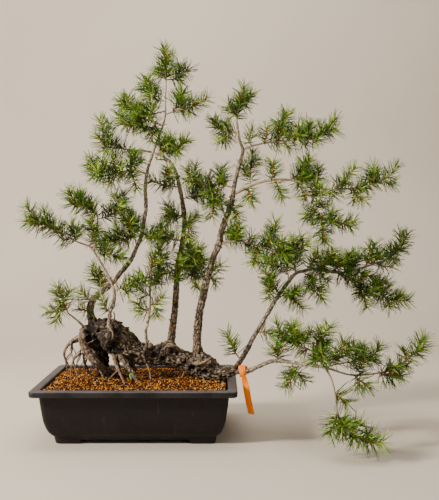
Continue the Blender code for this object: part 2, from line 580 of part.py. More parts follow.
def rounded_ring(inset, height):
    """Rounded rectangle round the pot's middle, inset from the rim's outside."""
    half_length = POT_LENGTH / 2 - inset
    half_width = POT_WIDTH / 2 - inset
    radius = CORNER_RADIUS
    ring = []
    for quarter in range(4):
        sign_x = (1, -1, -1, 1)[quarter]
        sign_y = (1, 1, -1, -1)[quarter]
        corner = Vector((sign_x * (half_length - radius), sign_y * (half_width - radius), 0))
        for step in range(CORNER_STEPS + 1):
            angle = math.pi / 2 * (quarter + step / CORNER_STEPS)
            turn = Vector((math.cos(angle), math.sin(angle), 0)) * radius
            ring.append(POT_CENTRE + CENTRING + corner + turn + Vector((0, 0, height)))
    return ring


def make_box(name, size, place, collection):
    bpy.ops.mesh.primitive_cube_add(size=1, location=place)
    item = bpy.context.active_object
    item.name = name
    item.data.transform(Matrix.Diagonal((*size, 1)))
    for owner in list(item.users_collection):
        owner.objects.unlink(item)
    collection.objects.link(item)
    return item


def make_cylinder(name, radius, height, place, collection):
    bpy.ops.mesh.primitive_cylinder_add(vertices=DRAIN_SIDES, radius=radius, depth=height, location=place)
    item = bpy.context.active_object
    item.name = name
    for owner in list(item.users_collection):
        owner.objects.unlink(item)
    collection.objects.link(item)
    return item


def make_pot(parts):
    cutters = new_collection("pot_cutters")
    profile = POT_INSIDE + POT_RIM + POT_OUTSIDE + POT_UNDER
    rings = [rounded_ring(inset * MM, height * MM) for inset, height in profile]
    pot = loft("pot", rings, parts, new_material("black_plastic", (0.025, 0.022, 0.021), 0.5))
    middle = POT_CENTRE + CENTRING
    foot_length = POT_LENGTH - 2 * FOOT_INSET
    foot_width = POT_WIDTH - 2 * FOOT_INSET
    below = MM
    arch_height = FOOT_ARCH + below
    arch_middle = (FOOT_ARCH - below) / 2
    for side in (-1, 1):
        make_box("arch", (foot_length - 2 * FOOT_LENGTH, ARCH_REACH, arch_height),
                 middle + Vector((0, side * foot_width / 2, arch_middle)), cutters)
        make_box("arch", (ARCH_REACH, foot_width - 2 * FOOT_LENGTH, arch_height),
                 middle + Vector((side * foot_length / 2, 0, arch_middle)), cutters)
        for across in (-1, 1):
            make_cylinder("drain", DRAIN_RADIUS, DRAIN_CUT,
                          middle + Vector((side * DRAIN_X, across * DRAIN_Y, FLOOR_MIDDLE)), cutters)
    return combined(pot, cutters, "DIFFERENCE")


def soil_ring(inset, height, random=None, relief=0.0):
    """The pot's inside outline, inset, with evenly spread points; the top ones are uneven."""
    outline = rounded_ring(inset, height)
    along = [0.0]
    for start, end in zip(outline, outline[1:] + outline[:1]):
        along.append(along[-1] + (end - start).length)
    places = np.array([list(point) for point in outline + outline[:1]])
    wanted = np.linspace(0, along[-1], SOIL_STATIONS, endpoint=False)
    ring = np.column_stack([np.interp(wanted, along, places[:, axis]) for axis in range(3)])
    if random is not None:
        ring += random.uniform(-relief, relief, ring.shape) * (SOIL_WANDER, SOIL_WANDER, 1.0)
    return [Vector(point) for point in ring]


def make_soil(parts):
    random = np.random.default_rng(SEED)
    rings = [soil_ring(inset * MM + GAP, height * MM + GAP) for inset, height in SOIL_UNDER]
    for step in range(SOIL_RINGS):
        share = (step + 1) / SOIL_RINGS
        inset = SOIL_RIM + share ** SOIL_SPREAD * SOIL_REACH
        height = SOIL_TOP - SOIL_EDGE + SOIL_DOME * math.sin(share * math.pi / 2)
        rings.append(soil_ring(inset, height, random, SOIL_RELIEF if share < 1 else 0.0))
    return loft("soil", rings, parts, new_material("akadama_grit", (0.50, 0.24, 0.06), 0.9))


def make_wood(name, routes, collection, material, grow=0.0):
    """The whole living plant's wood as one solid; grow makes the same shape larger all round."""
    pieces = new_collection(name + "_pieces")
    solids = [tube(key, places, radii, pieces, grow) for key, (_, places, radii) in routes.items()]
    trunk = solids[0]
    pieces.objects.unlink(trunk)
    collection.objects.link(trunk)
    trunk.name = name
    combined(trunk, pieces)
    keep_largest(trunk.data)
    if material:
        trunk.data.materials.clear()
        trunk.data.materials.append(material)
    return trunk


def smooth_route(places, count):
    """Points of a smooth curve through the places."""
    spots = [places[0] * 2 - places[1], *places, places[-1] * 2 - places[-2]]
    result = []
    for i in range(1, len(spots) - 2):
        before, start, end, after = spots[i - 1:i + 3]
        for step in range(count):
            t = step / count
            bend = 2 * before - 5 * start + 4 * end - after
            twist = 3 * start - before - 3 * end + after
            result.append(0.5 * (2 * start + (end - before) * t + bend * t ** 2 + twist * t ** 3))
    return [*result, places[-1]]


def length_of(places):
    return sum((end - start).length for start, end in zip(places[:-1], places[1:]))


def stations(places, bare, leafy):
    """Places along a shoot where its rings stand, far apart below the needles at its end."""
    fine = np.array([list(place) for place in smooth_route(places, 8)])
    along = np.concatenate(([0.0], np.cumsum(np.linalg.norm(np.diff(fine, axis=0), axis=1))))
    total = along[-1]
    bare = max(min(bare, total * LONGEST_BARE), total - leafy)
    bare_count = max(1, round(bare / BARE_STEP))
    leafy_count = max(2, round((total - bare) / NEEDLE_STEP))
    leafy_steps = np.linspace(bare, total, leafy_count + 1)[1:]
    wanted = np.concatenate((np.linspace(0, bare, bare_count + 1), leafy_steps))
    rings = np.column_stack([np.interp(wanted, along, fine[:, axis]) for axis in range(3)])
    return rings, wanted, bare, total


def shortest_gaps(start, end, starts, ends):
    """Distance from one straight stretch to many, and how far along each the nearest places are."""
    one = end - start
    many = ends - starts
    apart = start - starts
    a = one @ one
    e = np.einsum("ij,ij->i", many, many) + 1e-15
    f = np.einsum("ij,ij->i", many, apart)
    c = apart @ one
    b = many @ one
    spread = a * e - b * b
    s = np.clip(np.where(spread > 1e-18, (b * f - c * e) / np.maximum(spread, 1e-18), 0.5), 0, 1)
    t = np.clip((b * s + f) / e, 0, 1)
    s = np.clip((b * t - c) / a, 0, 1)
    near = start + s[:, None] * one - (starts + t[:, None] * many)
    return np.sqrt(np.einsum("ij,ij->i", near, near)), s, t


class Crowd:
    """All wood, twigs and needles placed so far, as straight stretches with a radius at each end."""

    def __init__(self):
        self.rows = np.zeros((MOST_SOLIDS, 9))
        self.used = 0

    def add(self, start, end, radius_start, radius_end, owner):
        self.rows[self.used] = (*start, *end, radius_start, radius_end, owner)
        self.used += 1

    def clear_of(self, start, end, radius_start, radius_end, owner):
        rows = self.rows[:self.used]
        lengths = np.linalg.norm(rows[:, 3:6] - rows[:, :3], axis=1)
        apart = np.linalg.norm((rows[:, :3] + rows[:, 3:6]) / 2 - (start + end) / 2, axis=1)
        near = apart < (np.linalg.norm(end - start) + lengths) / 2 + NEAR_ENOUGH
        rows = rows[near & (rows[:, 8] != owner)]
        if not len(rows):
            return True
        gaps, s, t = shortest_gaps(start, end, rows[:, :3], rows[:, 3:6])
        size = radius_start + (radius_end - radius_start) * s + rows[:, 6] + (rows[:, 7] - rows[:, 6]) * t
        return bool(np.all(gaps > size + NEEDLE_CLEAR))


def shoot_frames(rings):
    """Two directions across a shoot at each ring, carried along without twist."""
    steps = np.diff(rings, axis=0)
    along = np.vstack((steps[:1], (steps[:-1] + steps[1:]) / 2, steps[-1:]))
    along /= np.linalg.norm(along, axis=1)[:, None]
    side = np.cross(along[0], (0.3, 0.5, 0.8))
    frames = []
    for direction in along:
        side = side - direction * (side @ direction)
        side = side / np.linalg.norm(side)
        frames.append((side, np.cross(direction, side), direction))
    return frames


def shoot_shell(rings, root_radius, tip_radius):
    """Points and faces of a three-sided twig whose rings are turned by a sixth each."""
    frames = shoot_frames(rings)
    points = []
    for i, (middle, (side, up, _)) in enumerate(zip(rings, frames)):
        radius = root_radius + (tip_radius - root_radius) * i / (len(rings) - 1)
        for k in range(3):
            angle = math.tau * k / 3 + math.pi / 3 * i
            points.append(middle + radius * (math.cos(angle) * side + math.sin(angle) * up))
    faces = []
    for i in range(len(rings) - 1):
        low, high = 3 * i, 3 * i + 3
        for k in range(3):
            after = (k + 1) % 3
            before = (k + 2) % 3
            faces.append((i, (low + k, low + after, high + k)))
            faces.append((i, (high + k, high + before, low + k)))
    return points, faces, frames


def grow_needles(rings, wanted, bare, total, length, crowd, owner, random, root_radius):
    """A shoot's mesh data: its twig, with most facets past the bare stretch drawn out to needles."""
    points, faces, frames = shoot_shell(rings, root_radius, TWIG_TIP)
    triangles = []
    for ring, facet in faces:
        a, b, c = (points[i] for i in facet)
        normal = np.cross(b - a, c - a)
        normal /= np.linalg.norm(normal)
        centre = (a + b + c) / 3
        _, _, along = frames[ring]
        outward = centre - (rings[ring] + rings[ring + 1]) / 2
        if normal @ outward < 0:
            facet = facet[::-1]
            normal = -normal
        place = (wanted[ring] + wanted[ring + 1]) / 2
        draws = random.uniform(-1, 1, 5)
        if place < bare:
            triangles.append(facet)
            continue
        height = np.clip((place - bare) / max(total - bare, 1e-6), 0, 1)
        sweep = SWEEP_BASE + (SWEEP_TIP - SWEEP_BASE) * height
        tip = None
        for attempt, stretch in enumerate(NEEDLE_TRIES):
            lean = sweep + LEAN_SCATTER * draws[attempt % 2] + attempt * LEAN_STEP * draws[2]
            sideways = np.cross(along, normal) * NEEDLE_SCATTER * draws[3]
            aim = math.cos(lean) * along + math.sin(lean) * normal + sideways
            aim /= np.linalg.norm(aim)
            end = centre + aim * length * stretch * (1 + NEEDLE_SCATTER * draws[4])
            foot = centre + aim * NEEDLE_START
            if crowd.clear_of(foot, end, NEEDLE_FOOT, NEEDLE_POINT, owner):
                tip = end
                break
        if tip is None or tip[2] < LOWEST_NEEDLE:
            triangles.append(facet)
            continue
        crowd.add(centre, tip, NEEDLE_FOOT, NEEDLE_POINT, owner)
        apex = len(points)
        points.append(tip)
        p, q, r = facet
        triangles += [(p, q, apex), (q, r, apex), (r, p, apex)]
    tip = len(points)
    points.append(rings[-1] + frames[-1][2] * BUD)
    last = 3 * (len(rings) - 1)
    triangles += [(last, last + 1, tip), (last + 1, last + 2, tip), (last + 2, last, tip), (2, 1, 0)]
    return points, triangles


def crossing_faces(mesh):
    """Faces of one mesh that cut through another of its faces."""
    shape = bmesh.new()
    shape.from_mesh(mesh)
    shape.faces.ensure_lookup_table()
    tree = BVHTree.FromBMesh(shape)
    bad = set()
    for i, j in tree.overlap(tree):
        if i < j and not set(shape.faces[i].verts) & set(shape.faces[j].verts):
            bad.add(i)
            bad.add(j)
    result = [[vertex.index for vertex in shape.faces[i].verts] for i in bad]
    shape.free()
    return result


def make_shoot(name, rings, points, triangles, collection):
    """A shoot as a closed solid; needles that would cross on it are drawn in to stubs."""
    mesh = bpy.data.meshes.new(name)
    mesh.from_pydata([tuple(point) for point in points], [], triangles)
    first_needle = 3 * len(rings)
    for _ in range(DRAWS_IN):
        crossing = {index for face in crossing_faces(mesh) for index in face if index >= first_needle}
        if not crossing:
            break
        for index in crossing:
            neighbours = [v for t in triangles if index in t for v in t if v != index]
            foot = sum((Vector(points[v]) for v in set(neighbours)), Vector()) / len(set(neighbours))
            mesh.vertices[index].co = foot + (mesh.vertices[index].co - foot) * DRAW_IN
    item = new_object(name, mesh, collection)
    weld(item.data)
    return item


def spray_traces(routes):
    """For every spray, its shoots as their places in space, bare lengths and radii."""
    sprays = {}
    for name, (parent, shoots) in SPRAYS.items():
        earlier = []
        grown = []
        for bare, points in shoots:
            near = earlier or [routes[parent][0]]
            depth = min(nearest_on(trace, *points[0][:2]) for trace in near)[1]
            trace = traced(points, depth)
            earlier.append(trace)
            grown.append(([seen(*row) for row in trace], bare * MM))
        sprays[name] = grown
    return sprays


def make_sprays(routes, clearance, parts, material):
    crowd = Crowd()
    for _, places, radii in routes.values():
        for i in range(len(places) - 1):
            crowd.add(places[i], places[i + 1], radii[i], radii[i + 1], -1)
    ready = {}
    for owner, (name, shoots) in enumerate(spray_traces(routes).items()):
        ready[name] = []
        leader = length_of(shoots[0][0])
        thick = max(leader / TWIG_LEADER, 1) ** 0.5
        for number, (places, bare) in enumerate(shoots):
            rings, wanted, bare, total = stations(places, bare, LEAFY_SIDE if number else LEAFY_LEADER)
            radius = TWIG_ROOT * (thick if number == 0 else TWIG_SIDE)
            ready[name].append((rings, wanted, bare, total, radius))
            for i in range(len(rings) - 1):
                crowd.add(rings[i], rings[i + 1], radius, radius, owner)
    for owner, (name, shoots) in enumerate(ready.items()):
        random = np.random.default_rng([SEED, owner])
        length = PENDANT_NEEDLE if name in PENDANTS else NEEDLE_LENGTH
        pieces = new_collection(name + "_pieces")
        for number, (rings, wanted, bare, total, radius) in enumerate(shoots):
            points, triangles = grow_needles(rings, wanted, bare, total, length, crowd, owner, random, radius)
            make_shoot(f"{name}_{number}", rings, points, triangles, pieces)
        spray = pieces.objects[0]
        pieces.objects.unlink(spray)
        parts.objects.link(spray)
        spray.name = "spray_" + name
        if len(pieces.objects):
            combined(spray, pieces)
        else:
            bpy.data.collections.remove(pieces)
        cut_by(spray, clearance)
        keep_largest(spray.data)
        spray.data.materials.clear()
        spray.data.materials.append(material)


def ribbon(name, places, across, thickness, collection, closed=False):
    """A flat strip of constant width along the places; across is its width as a vector."""
    rows = []
    for i, place in enumerate(places):
        if closed:
            step = places[(i + 1) % len(places)] - places[i - 1]
        else:
            step = places[min(i + 1, len(places) - 1)] - places[max(i - 1, 0)]
        normal = step.cross(across).normalized() * thickness / 2
        rows.append([place - across / 2 - normal, place + across / 2 - normal,
                     place + across / 2 + normal, place - across / 2 + normal])
    shape = bmesh.new()
    rows = [[shape.verts.new(point) for point in row] for row in rows]
    pairs = list(zip(rows[:-1], rows[1:])) + ([(rows[-1], rows[0])] if closed else [])
    for lower, upper in pairs:
        for i in range(4):
            j = (i + 1) % 4
            shape.faces.new((lower[i], lower[j], upper[j], upper[i]))
    if not closed:
        shape.faces.new(rows[0])
        shape.faces.new(rows[-1])
    bmesh.ops.recalc_face_normals(shape, faces=shape.faces)
    mesh = bpy.data.meshes.new(name)
    shape.to_mesh(mesh)
    shape.free()
    return new_object(name, mesh, collection)


def make_tag(routes, parts):
    """The strip hangs by its loop: the loop's inside rests on the branch's upper side."""
    trace, places, radii = routes["low_branch"]
    branch = seen(*TAG_PLACE, nearest_on(trace, *TAG_PLACE)[1])
    run = (places[1] - places[0]).normalized()
    thick = radii[0] + (radii[1] - radii[0]) * 0.6
    middle = branch - Vector((0, 0, TAG_LOOP - thick - GAP - TAG_THICKNESS / 2 + TAG_SEAT))
    level = Vector((-run.y, run.x, 0)).normalized()
    loop = [middle + TAG_LOOP * (level * math.cos(angle) + Vector((0, 0, math.sin(angle))))
            for angle in np.linspace(0, math.tau, TAG_STEPS, endpoint=False)]
    pieces = new_collection("tag_pieces")
    tag = ribbon("tag", loop, run * TAG_WIDTH, TAG_THICKNESS, parts, closed=True)
    strip = [middle - Vector((0, 0, TAG_LOOP - TAG_OVERLAP)), *[seen(*row) for row in TAG_ROUTE]]
    ribbon("strip", strip, Vector((TAG_WIDTH, 0, 0)), TAG_THICKNESS, pieces)
    combined(tag, pieces)
    tag.data.materials.clear()
    tag.data.materials.append(new_material("orange_plastic", (0.90, 0.28, 0.02), 0.4))
    return tag


def leaf(name, root, direction, length, collection):
    """A small pointed leaf, thin as a lens, from its root along a direction."""
    side = direction.cross(Vector((0, 0, 1))).normalized()
    up = side.cross(direction).normalized()
    rings = []
    thick = up * 0.5 * MM
    for share, width in LEAF_WIDTHS:
        middle = root + direction * length * share + up * length * LEAF_ARCH * math.sin(share * math.pi)
        half = side * width * length * LEAF_HALF
        rings.append([middle - half, middle + thick, middle + half, middle - thick])
    return loft(name, rings, collection, None)


def make_weed(parts, soil_cutters):
    place = seen(*WEED_PLACE, depth_on_soil(*WEED_PLACE))
    places = [place - Vector((0, 0, WEED_ROOT)), place, place + Vector((MM, 0, WEED_HEIGHT))]
    tube("weed_hole", places, [WEED_STEM] * 3, soil_cutters, GAP)
    pieces = new_collection("weed_pieces")
    weed = tube("weed", places, [WEED_STEM] * 3, parts)
    for i in range(WEED_LEAVES):
        angle = GOLDEN_ANGLE * i
        direction = Vector((math.cos(angle), math.sin(angle), LEAF_RISE + LEAF_RISE_STEP * i)).normalized()
        leaf(f"leaf_{i}", places[2] - Vector((0, 0, LEAF_SINK)), direction, WEED_LEAF, pieces)
    combined(weed, pieces)
    weed.data.materials.clear()
    weed.data.materials.append(new_material("weed_green", (0.12, 0.30, 0.05), 0.55))
    return weed


def main():
    clear_scene()
    parts = new_collection("scots_pine_bonsai")
    guides = new_collection("clearances")
    routes = wood_routes()
    make_pot(parts)
    soil = make_soil(parts)
    make_wood("pine_wood", routes, parts, new_material("pine_bark", (0.19, 0.13, 0.09), 0.9))
    clearance = make_wood("wood_clearance", routes, guides, None, GAP)
    clearance.hide_render = True
    clearance.display_type = "WIRE"
    soil_cutters = new_collection("soil_cutters")
    make_weed(parts, soil_cutters)
    cut_by(soil, clearance)
    combined(soil, soil_cutters, "DIFFERENCE")
    keep_largest(soil.data)
    make_tag(routes, parts)
    make_sprays(routes, clearance, parts, new_material("pine_needles", (0.16, 0.32, 0.07), 0.5))


main()
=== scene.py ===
"""Looks of a Scots pine grown as a raft bonsai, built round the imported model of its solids.

Metres, +Z up, the table at z = 0 and the pot's front facing -Y. The way the wood and the twigs run is held
as places in the photograph, in pixels of its 439 x 500 frame, with a depth in millimetres behind the plant's
middle. Every thickness and length is a real size.
"""
import math

import bmesh
import bpy
import numpy as np
from mathutils import Matrix, Vector


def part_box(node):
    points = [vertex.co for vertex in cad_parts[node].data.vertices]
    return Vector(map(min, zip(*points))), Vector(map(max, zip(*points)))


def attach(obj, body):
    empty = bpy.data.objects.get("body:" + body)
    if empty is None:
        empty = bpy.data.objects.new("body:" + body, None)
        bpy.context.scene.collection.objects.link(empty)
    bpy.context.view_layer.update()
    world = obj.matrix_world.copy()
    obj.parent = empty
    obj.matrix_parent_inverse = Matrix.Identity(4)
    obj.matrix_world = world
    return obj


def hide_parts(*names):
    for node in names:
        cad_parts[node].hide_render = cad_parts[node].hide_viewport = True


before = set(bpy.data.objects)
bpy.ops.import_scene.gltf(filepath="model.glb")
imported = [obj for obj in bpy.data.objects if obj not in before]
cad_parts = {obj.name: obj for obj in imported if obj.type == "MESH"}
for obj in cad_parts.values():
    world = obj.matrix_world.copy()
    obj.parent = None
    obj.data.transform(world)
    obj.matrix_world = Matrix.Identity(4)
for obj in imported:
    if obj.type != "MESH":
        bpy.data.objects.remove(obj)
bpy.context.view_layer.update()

MM = 0.001
SEED = 7
UP = np.array((0.0, 0.0, 1.0))

# The photograph's viewpoint, and the pot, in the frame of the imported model
EYE_FROM_POT = Vector((0.165, -1.619, 0.423))
PLANT_DEPTH = 1.625         # from the eye to the plant's middle
EYE_PITCH = math.radians(1.69)
EYE_FOCAL = 780.0
PICTURE_CENTRE = (219.5, 250.0)
PICTURE_HEIGHT = 500.0
SENSOR = 36.0
POT_LOW, POT_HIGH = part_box("pot")
POT_MIDDLE = Vector(((POT_LOW.x + POT_HIGH.x) / 2, (POT_LOW.y + POT_HIGH.y) / 2, 0.0))
EYE = POT_MIDDLE + EYE_FROM_POT

# Pot: its wall as inset from the rim's outside and height in mm, from the floor over the rim to the foot
POT_LENGTH = POT_HIGH.x - POT_LOW.x
POT_WIDTH = POT_HIGH.y - POT_LOW.y
CORNER_RADIUS = 12.0 * MM
POT_INSIDE = [(60, 17), (46, 17.6), (41, 19.6), (36, 24.2), (31.5, 31), (28, 40), (26, 48), (24, 60),
              (21.6, 80), (19.4, 97), (18.6, 108.6), (18, 109.6)]
POT_RIM = [(17.2, 110), (9.5, 109.7), (3.4, 110), (2.0, 109.7), (0.9, 109), (0.25, 107.8), (0.1, 106.3),
           (0.5, 105.8), (0.2, 105.3), (0.5, 101.9), (0.9, 101.5), (0.6, 101.0), (0.8, 99.2), (1.4, 98.6),
           (3.2, 98.5), (3.8, 99.2), (4.2, 105.6), (5.2, 106.5), (14.6, 106.5), (15.6, 105.6)]
POT_OUTSIDE = [(16, 98.5), (17.4, 86), (19, 73), (20.8, 60), (23, 46), (26.4, 34.5), (31, 24), (36, 17.6),
               (39.2, 14.8), (40.2, 13.4), (40.8, 11.6), (42.7, 1.1), (43.3, 0.3)]
POT_UNDER = [(44.2, 0), (46.4, 0), (47, 0.6), (47.5, 14)]
FOOT_INSET = 42.0 * MM
FOOT_LENGTH = 50.0 * MM     # of each corner foot, between the arches
FOOT_ARCH = 8.5 * MM
FOOT_SLANT = 6.0 * MM       # of each end of an arch
ARCH_DEPTH = 30.0 * MM      # of the cut through the foot ring
DRAIN_RADIUS = 7.0 * MM
DRAIN_PLACES = (0.085, 0.035)
DRAIN_MIDDLE = 15.6 * MM    # height of the middle of the pot's floor
DRAIN_DEPTH = 12.0 * MM
CORNER_STEPS = 10
RIM_BAND = (97.5 * MM, 98.5 * MM)   # heights between which the pot's side turns to the paler rim

# Soil: the bed's wall like the pot's, then its top
SOIL_WALL = [(60, 17.6), (46, 18.6), (36.4, 25.6), (29, 41), (25, 60), (20.2, 98)]
SOIL_RINGS = 26
SOIL_INSET = 16.2           # in mm, of the top's outer edge
SOIL_REACH = 116            # in mm, from there to the top's middle
SOIL_TOP = 0.105
SOIL_EDGE = 0.6 * MM        # how far the bed lies below that at the pot's wall
SOIL_DOME = 2.6 * MM
SOIL_ROUGHNESS = 1.2        # in mm, up and down
BED_SHADE_TONE = 0.03             # painted shade: near black, the bed stands for the shade in the gaps between the granules
GRAIN_SIZE = 1.8 * MM       # radius of a middling granule
GRAIN_SPACING = 2.95 * MM
GRAIN_CROWD = 190000.0      # granules tried on a square metre
GRAIN_KINDS = 3

# Needles and twigs
NEEDLE_LENGTH = 30.0 * MM
STRETCHES = {"pendant": 1.18, "lean_tip": 1.08}      # the sprays with the longest needles
USUAL_SHED = 0.72           # share of the needles that a spray's old wood has lost
SHED = {"lean_tip": 0.25}   # where it is another
NEEDLE_WIDTH = 1.75 * MM
PAIR_SPACING = 0.98 * MM
LOWEST_NEEDLE = 0.8 * MM    # above the table
TIP_CLEAR = 24.0 * MM       # of a shoot's end, where no side tuft stands
TWIG_ROOT = 1.7 * MM
TWIG_TIP = 1.0 * MM
BUD_LENGTH = 5.0 * MM
GOLDEN_ANGLE = math.radians(137.5)

# The raft: x, y, depth, radius in mm
RAFT = [
    (88, 337, 0, 24), (98, 335, 0, 31), (108, 334, 0, 34), (117, 339.5, -2, 31.5), (124, 346, -3, 30),
    (131, 350.5, -3, 27), (142, 354.5, -2, 23), (151, 357, 0, 19), (162, 354, 4, 24), (170, 355, 5, 23),
    (178, 358, 4, 20), (190, 362, 3, 22), (201, 365, 3, 27), (210, 369.5, -6, 23), (218, 372.3, -15, 16.5),
    (224, 372.2, -21, 12.6), (228, 372.1, -25, 12), (233.5, 371.9, -28, 9), (237, 371.6, -29, 6.4),
]

# Trunks and bare branches: parent, thickness as radius in mm at root and tip, and the way they run
LIMBS = {
    "mass_left": ("raft", 17, 11, [(97, 338), (87, 331), (84.5, 335, -4)]),
    "mass_front": ("raft", 18, 11, [(112, 337), (105.5, 338, -24), (110, 346, -28), (118, 351, -24)]),
    "mass_under": ("raft", 15, 8, [(103, 342, 6), (102.5, 352, 12), (104.5, 361, 18), (106, 367, 24)]),
    "tall_flare": ("raft", 22, 8, [(99, 338, 0), (94, 326), (91.5, 316, 0)]),
    "tall_trunk": ("raft", 8.2, 1.7, [
        (95, 330, 0), (91.5, 318), (90.6, 306), (95, 297), (101, 292), (107, 287), (113, 282),
        (119, 274.5, 8),
        (125.5, 267), (131, 260), (135.5, 250), (141, 237), (143.6, 223), (146, 207), (145.3, 189),
        (146.8, 173), (151, 159), (156.8, 142), (161.8, 129), (165, 117), (165.5, 100), (166, 83, -4)]),
    "lean_trunk": ("raft", 5.8, 2.2, [
        (107.5, 343, -38), (109.5, 335, -40), (109.5, 328), (109.4, 320, -30), (110, 312), (112.9, 305),
        (114.4, 296), (112.3, 284.5),
        (105.5, 272, -15), (98, 258), (90, 247), (80, 243, -20)]),
    "back_trunk": ("raft", 8.6, 2.0, [
        (170, 352, 8), (171.3, 338), (173.6, 321), (175.5, 303), (176.4, 284.5), (178, 265, 24), (181, 250),
        (184, 230), (184.5, 217), (182.7, 203), (180, 190), (176.8, 175.5), (172, 164.5, 38), (163.6, 157),
        (153, 152.5, 36), (142, 150.6), (131, 150, 26)]),
    "thin_trunk": ("raft", 3.2, 1.6, [
        (143.6, 356.5, -21), (145.4, 350.5, -26), (147, 343.5), (145.9, 332), (148.4, 320),
        (150.2, 305), (150.2, 290), (151, 271, -22)]),
    "mid_flare": ("raft", 22, 9, [(203, 364, 3), (198, 353), (197, 342, 3)]),
    "mid_trunk": ("raft", 11.0, 2.7, [
        (199, 358, 4), (197, 343), (198, 326), (200, 310), (203.5, 294), (207.7, 276), (212.5, 260),
        (218.6, 244.5), (221.5, 231), (227, 215), (232, 201), (234, 188), (237.3, 172), (240.5, 161),
        (242.9, 150), (240, 142), (238.5, 134), (236.8, 122, -12)]),
    "slant_trunk": ("raft", 6.2, 2.0, [
        (234, 371, -28), (241, 360), (246.4, 351), (253.6, 337), (261, 324.5), (269, 311), (277.3, 297),
        (287, 283.6), (295.5, 273.6, 28), (303, 271), (315.5, 268.6), (325, 271), (337, 272.7),
        (350, 271.3), (361, 268), (371, 265.2), (382.7, 261, 54)]),
    "low_branch": ("raft", 5.6, 3.2, [
        (236, 371.6, -29), (247, 371.5), (257, 367), (269, 362), (279, 360.5, -60), (294.5, 362.7),
        (310, 365), (327, 367.5, -135)]),
    "low_branch_right": ("low_branch", 2.7, 1.8, [
        (326, 367.4), (336.4, 371), (349, 374.7), (361.6, 375, -126)]),
    "lean_stem": ("lean_trunk", 2.4, 1.8, [(93.8, 252), (95.3, 240), (96.2, 229), (97.7, 222, -24)]),
    "left_stem": ("mass_left", 3.4, 1.8, [(87, 331), (81, 324), (75.5, 319), (68, 313, -18)]),
    "raft_stub": ("raft", 7, 5, [(124, 340), (127, 330), (127.3, 327.5, -6)]),
    "raft_knob": ("raft", 8, 6, [(151, 354), (150.5, 346), (150.3, 343.6, -4)]),
    "raft_burl": ("raft", 12, 9, [(163, 353), (168.5, 345, -8), (174, 347, -6)]),
}

# Bare roots that the plant stands on; each ends in the soil, which gives its last depth
ROOTS = {
    "thick_root": (7.6, 6.2, [
        (85, 330, -18), (82.6, 335.5, -28), (82.8, 342), (84.8, 348), (89.5, 355.5), (96, 362.7, -34),
        (103.5, 368.8), (118, 376.5)]),
    "root_inner": (4.4, 2.4, [(90, 338, -6), (93.5, 350), (97, 357, -4), (103, 366), (108, 372)]),
    "root_under_mass": (5.4, 2.2, [(110.5, 348, -26), (113, 355), (118.5, 370), (124.6, 384)]),
    "root_front": (7.6, 3.4, [
        (116, 349, -24), (119, 354), (124, 361), (129, 368.5), (133, 374), (138.5, 383)]),
    "thin_root": (3.0, 1.6, [
        (143.8, 355, -21), (144.6, 360, -28), (147.6, 366), (149.8, 372), (151, 382.5)]),
    "thin_root_side": (1.9, 1.2, [(147, 365, -32), (152, 368), (158, 371), (164.5, 374.6)]),
    "root_back": (7, 3.6, [(108, 342, 24), (103, 359, 34), (97, 372)]),
    "root_back_far": (7, 3.4, [(122, 346, 22), (128, 358, 40), (133, 366), (136, 371)]),
    "root_flare": (6, 3.4, [(196, 366, 16), (193, 372, 30), (188, 375)]),
    "root_low": (3.2, 1.8, [(98, 350, 10), (98, 361), (100.5, 371), (104.6, 381)]),
    "root_thin_1": (3, 1.4, [(80, 338, -20), (72, 342), (71.5, 352), (66.4, 359), (68, 375)]),
    "root_thin_2": (3, 1.4, [(80, 340, -10), (68.6, 345), (64.5, 355), (68, 364), (72, 374)]),
    "root_thin_3": (3, 1.4, [(82, 347, -26), (79.5, 354), (73, 361), (76, 370), (78, 382)]),
    "root_thin_4": (3, 1.6, [(84, 349, -20), (84, 362), (88, 370), (86, 377)]),
    "root_thin_5": (2.6, 1.4, [(88.5, 356, -30), (85.5, 364), (90, 374), (97, 377)]),
}

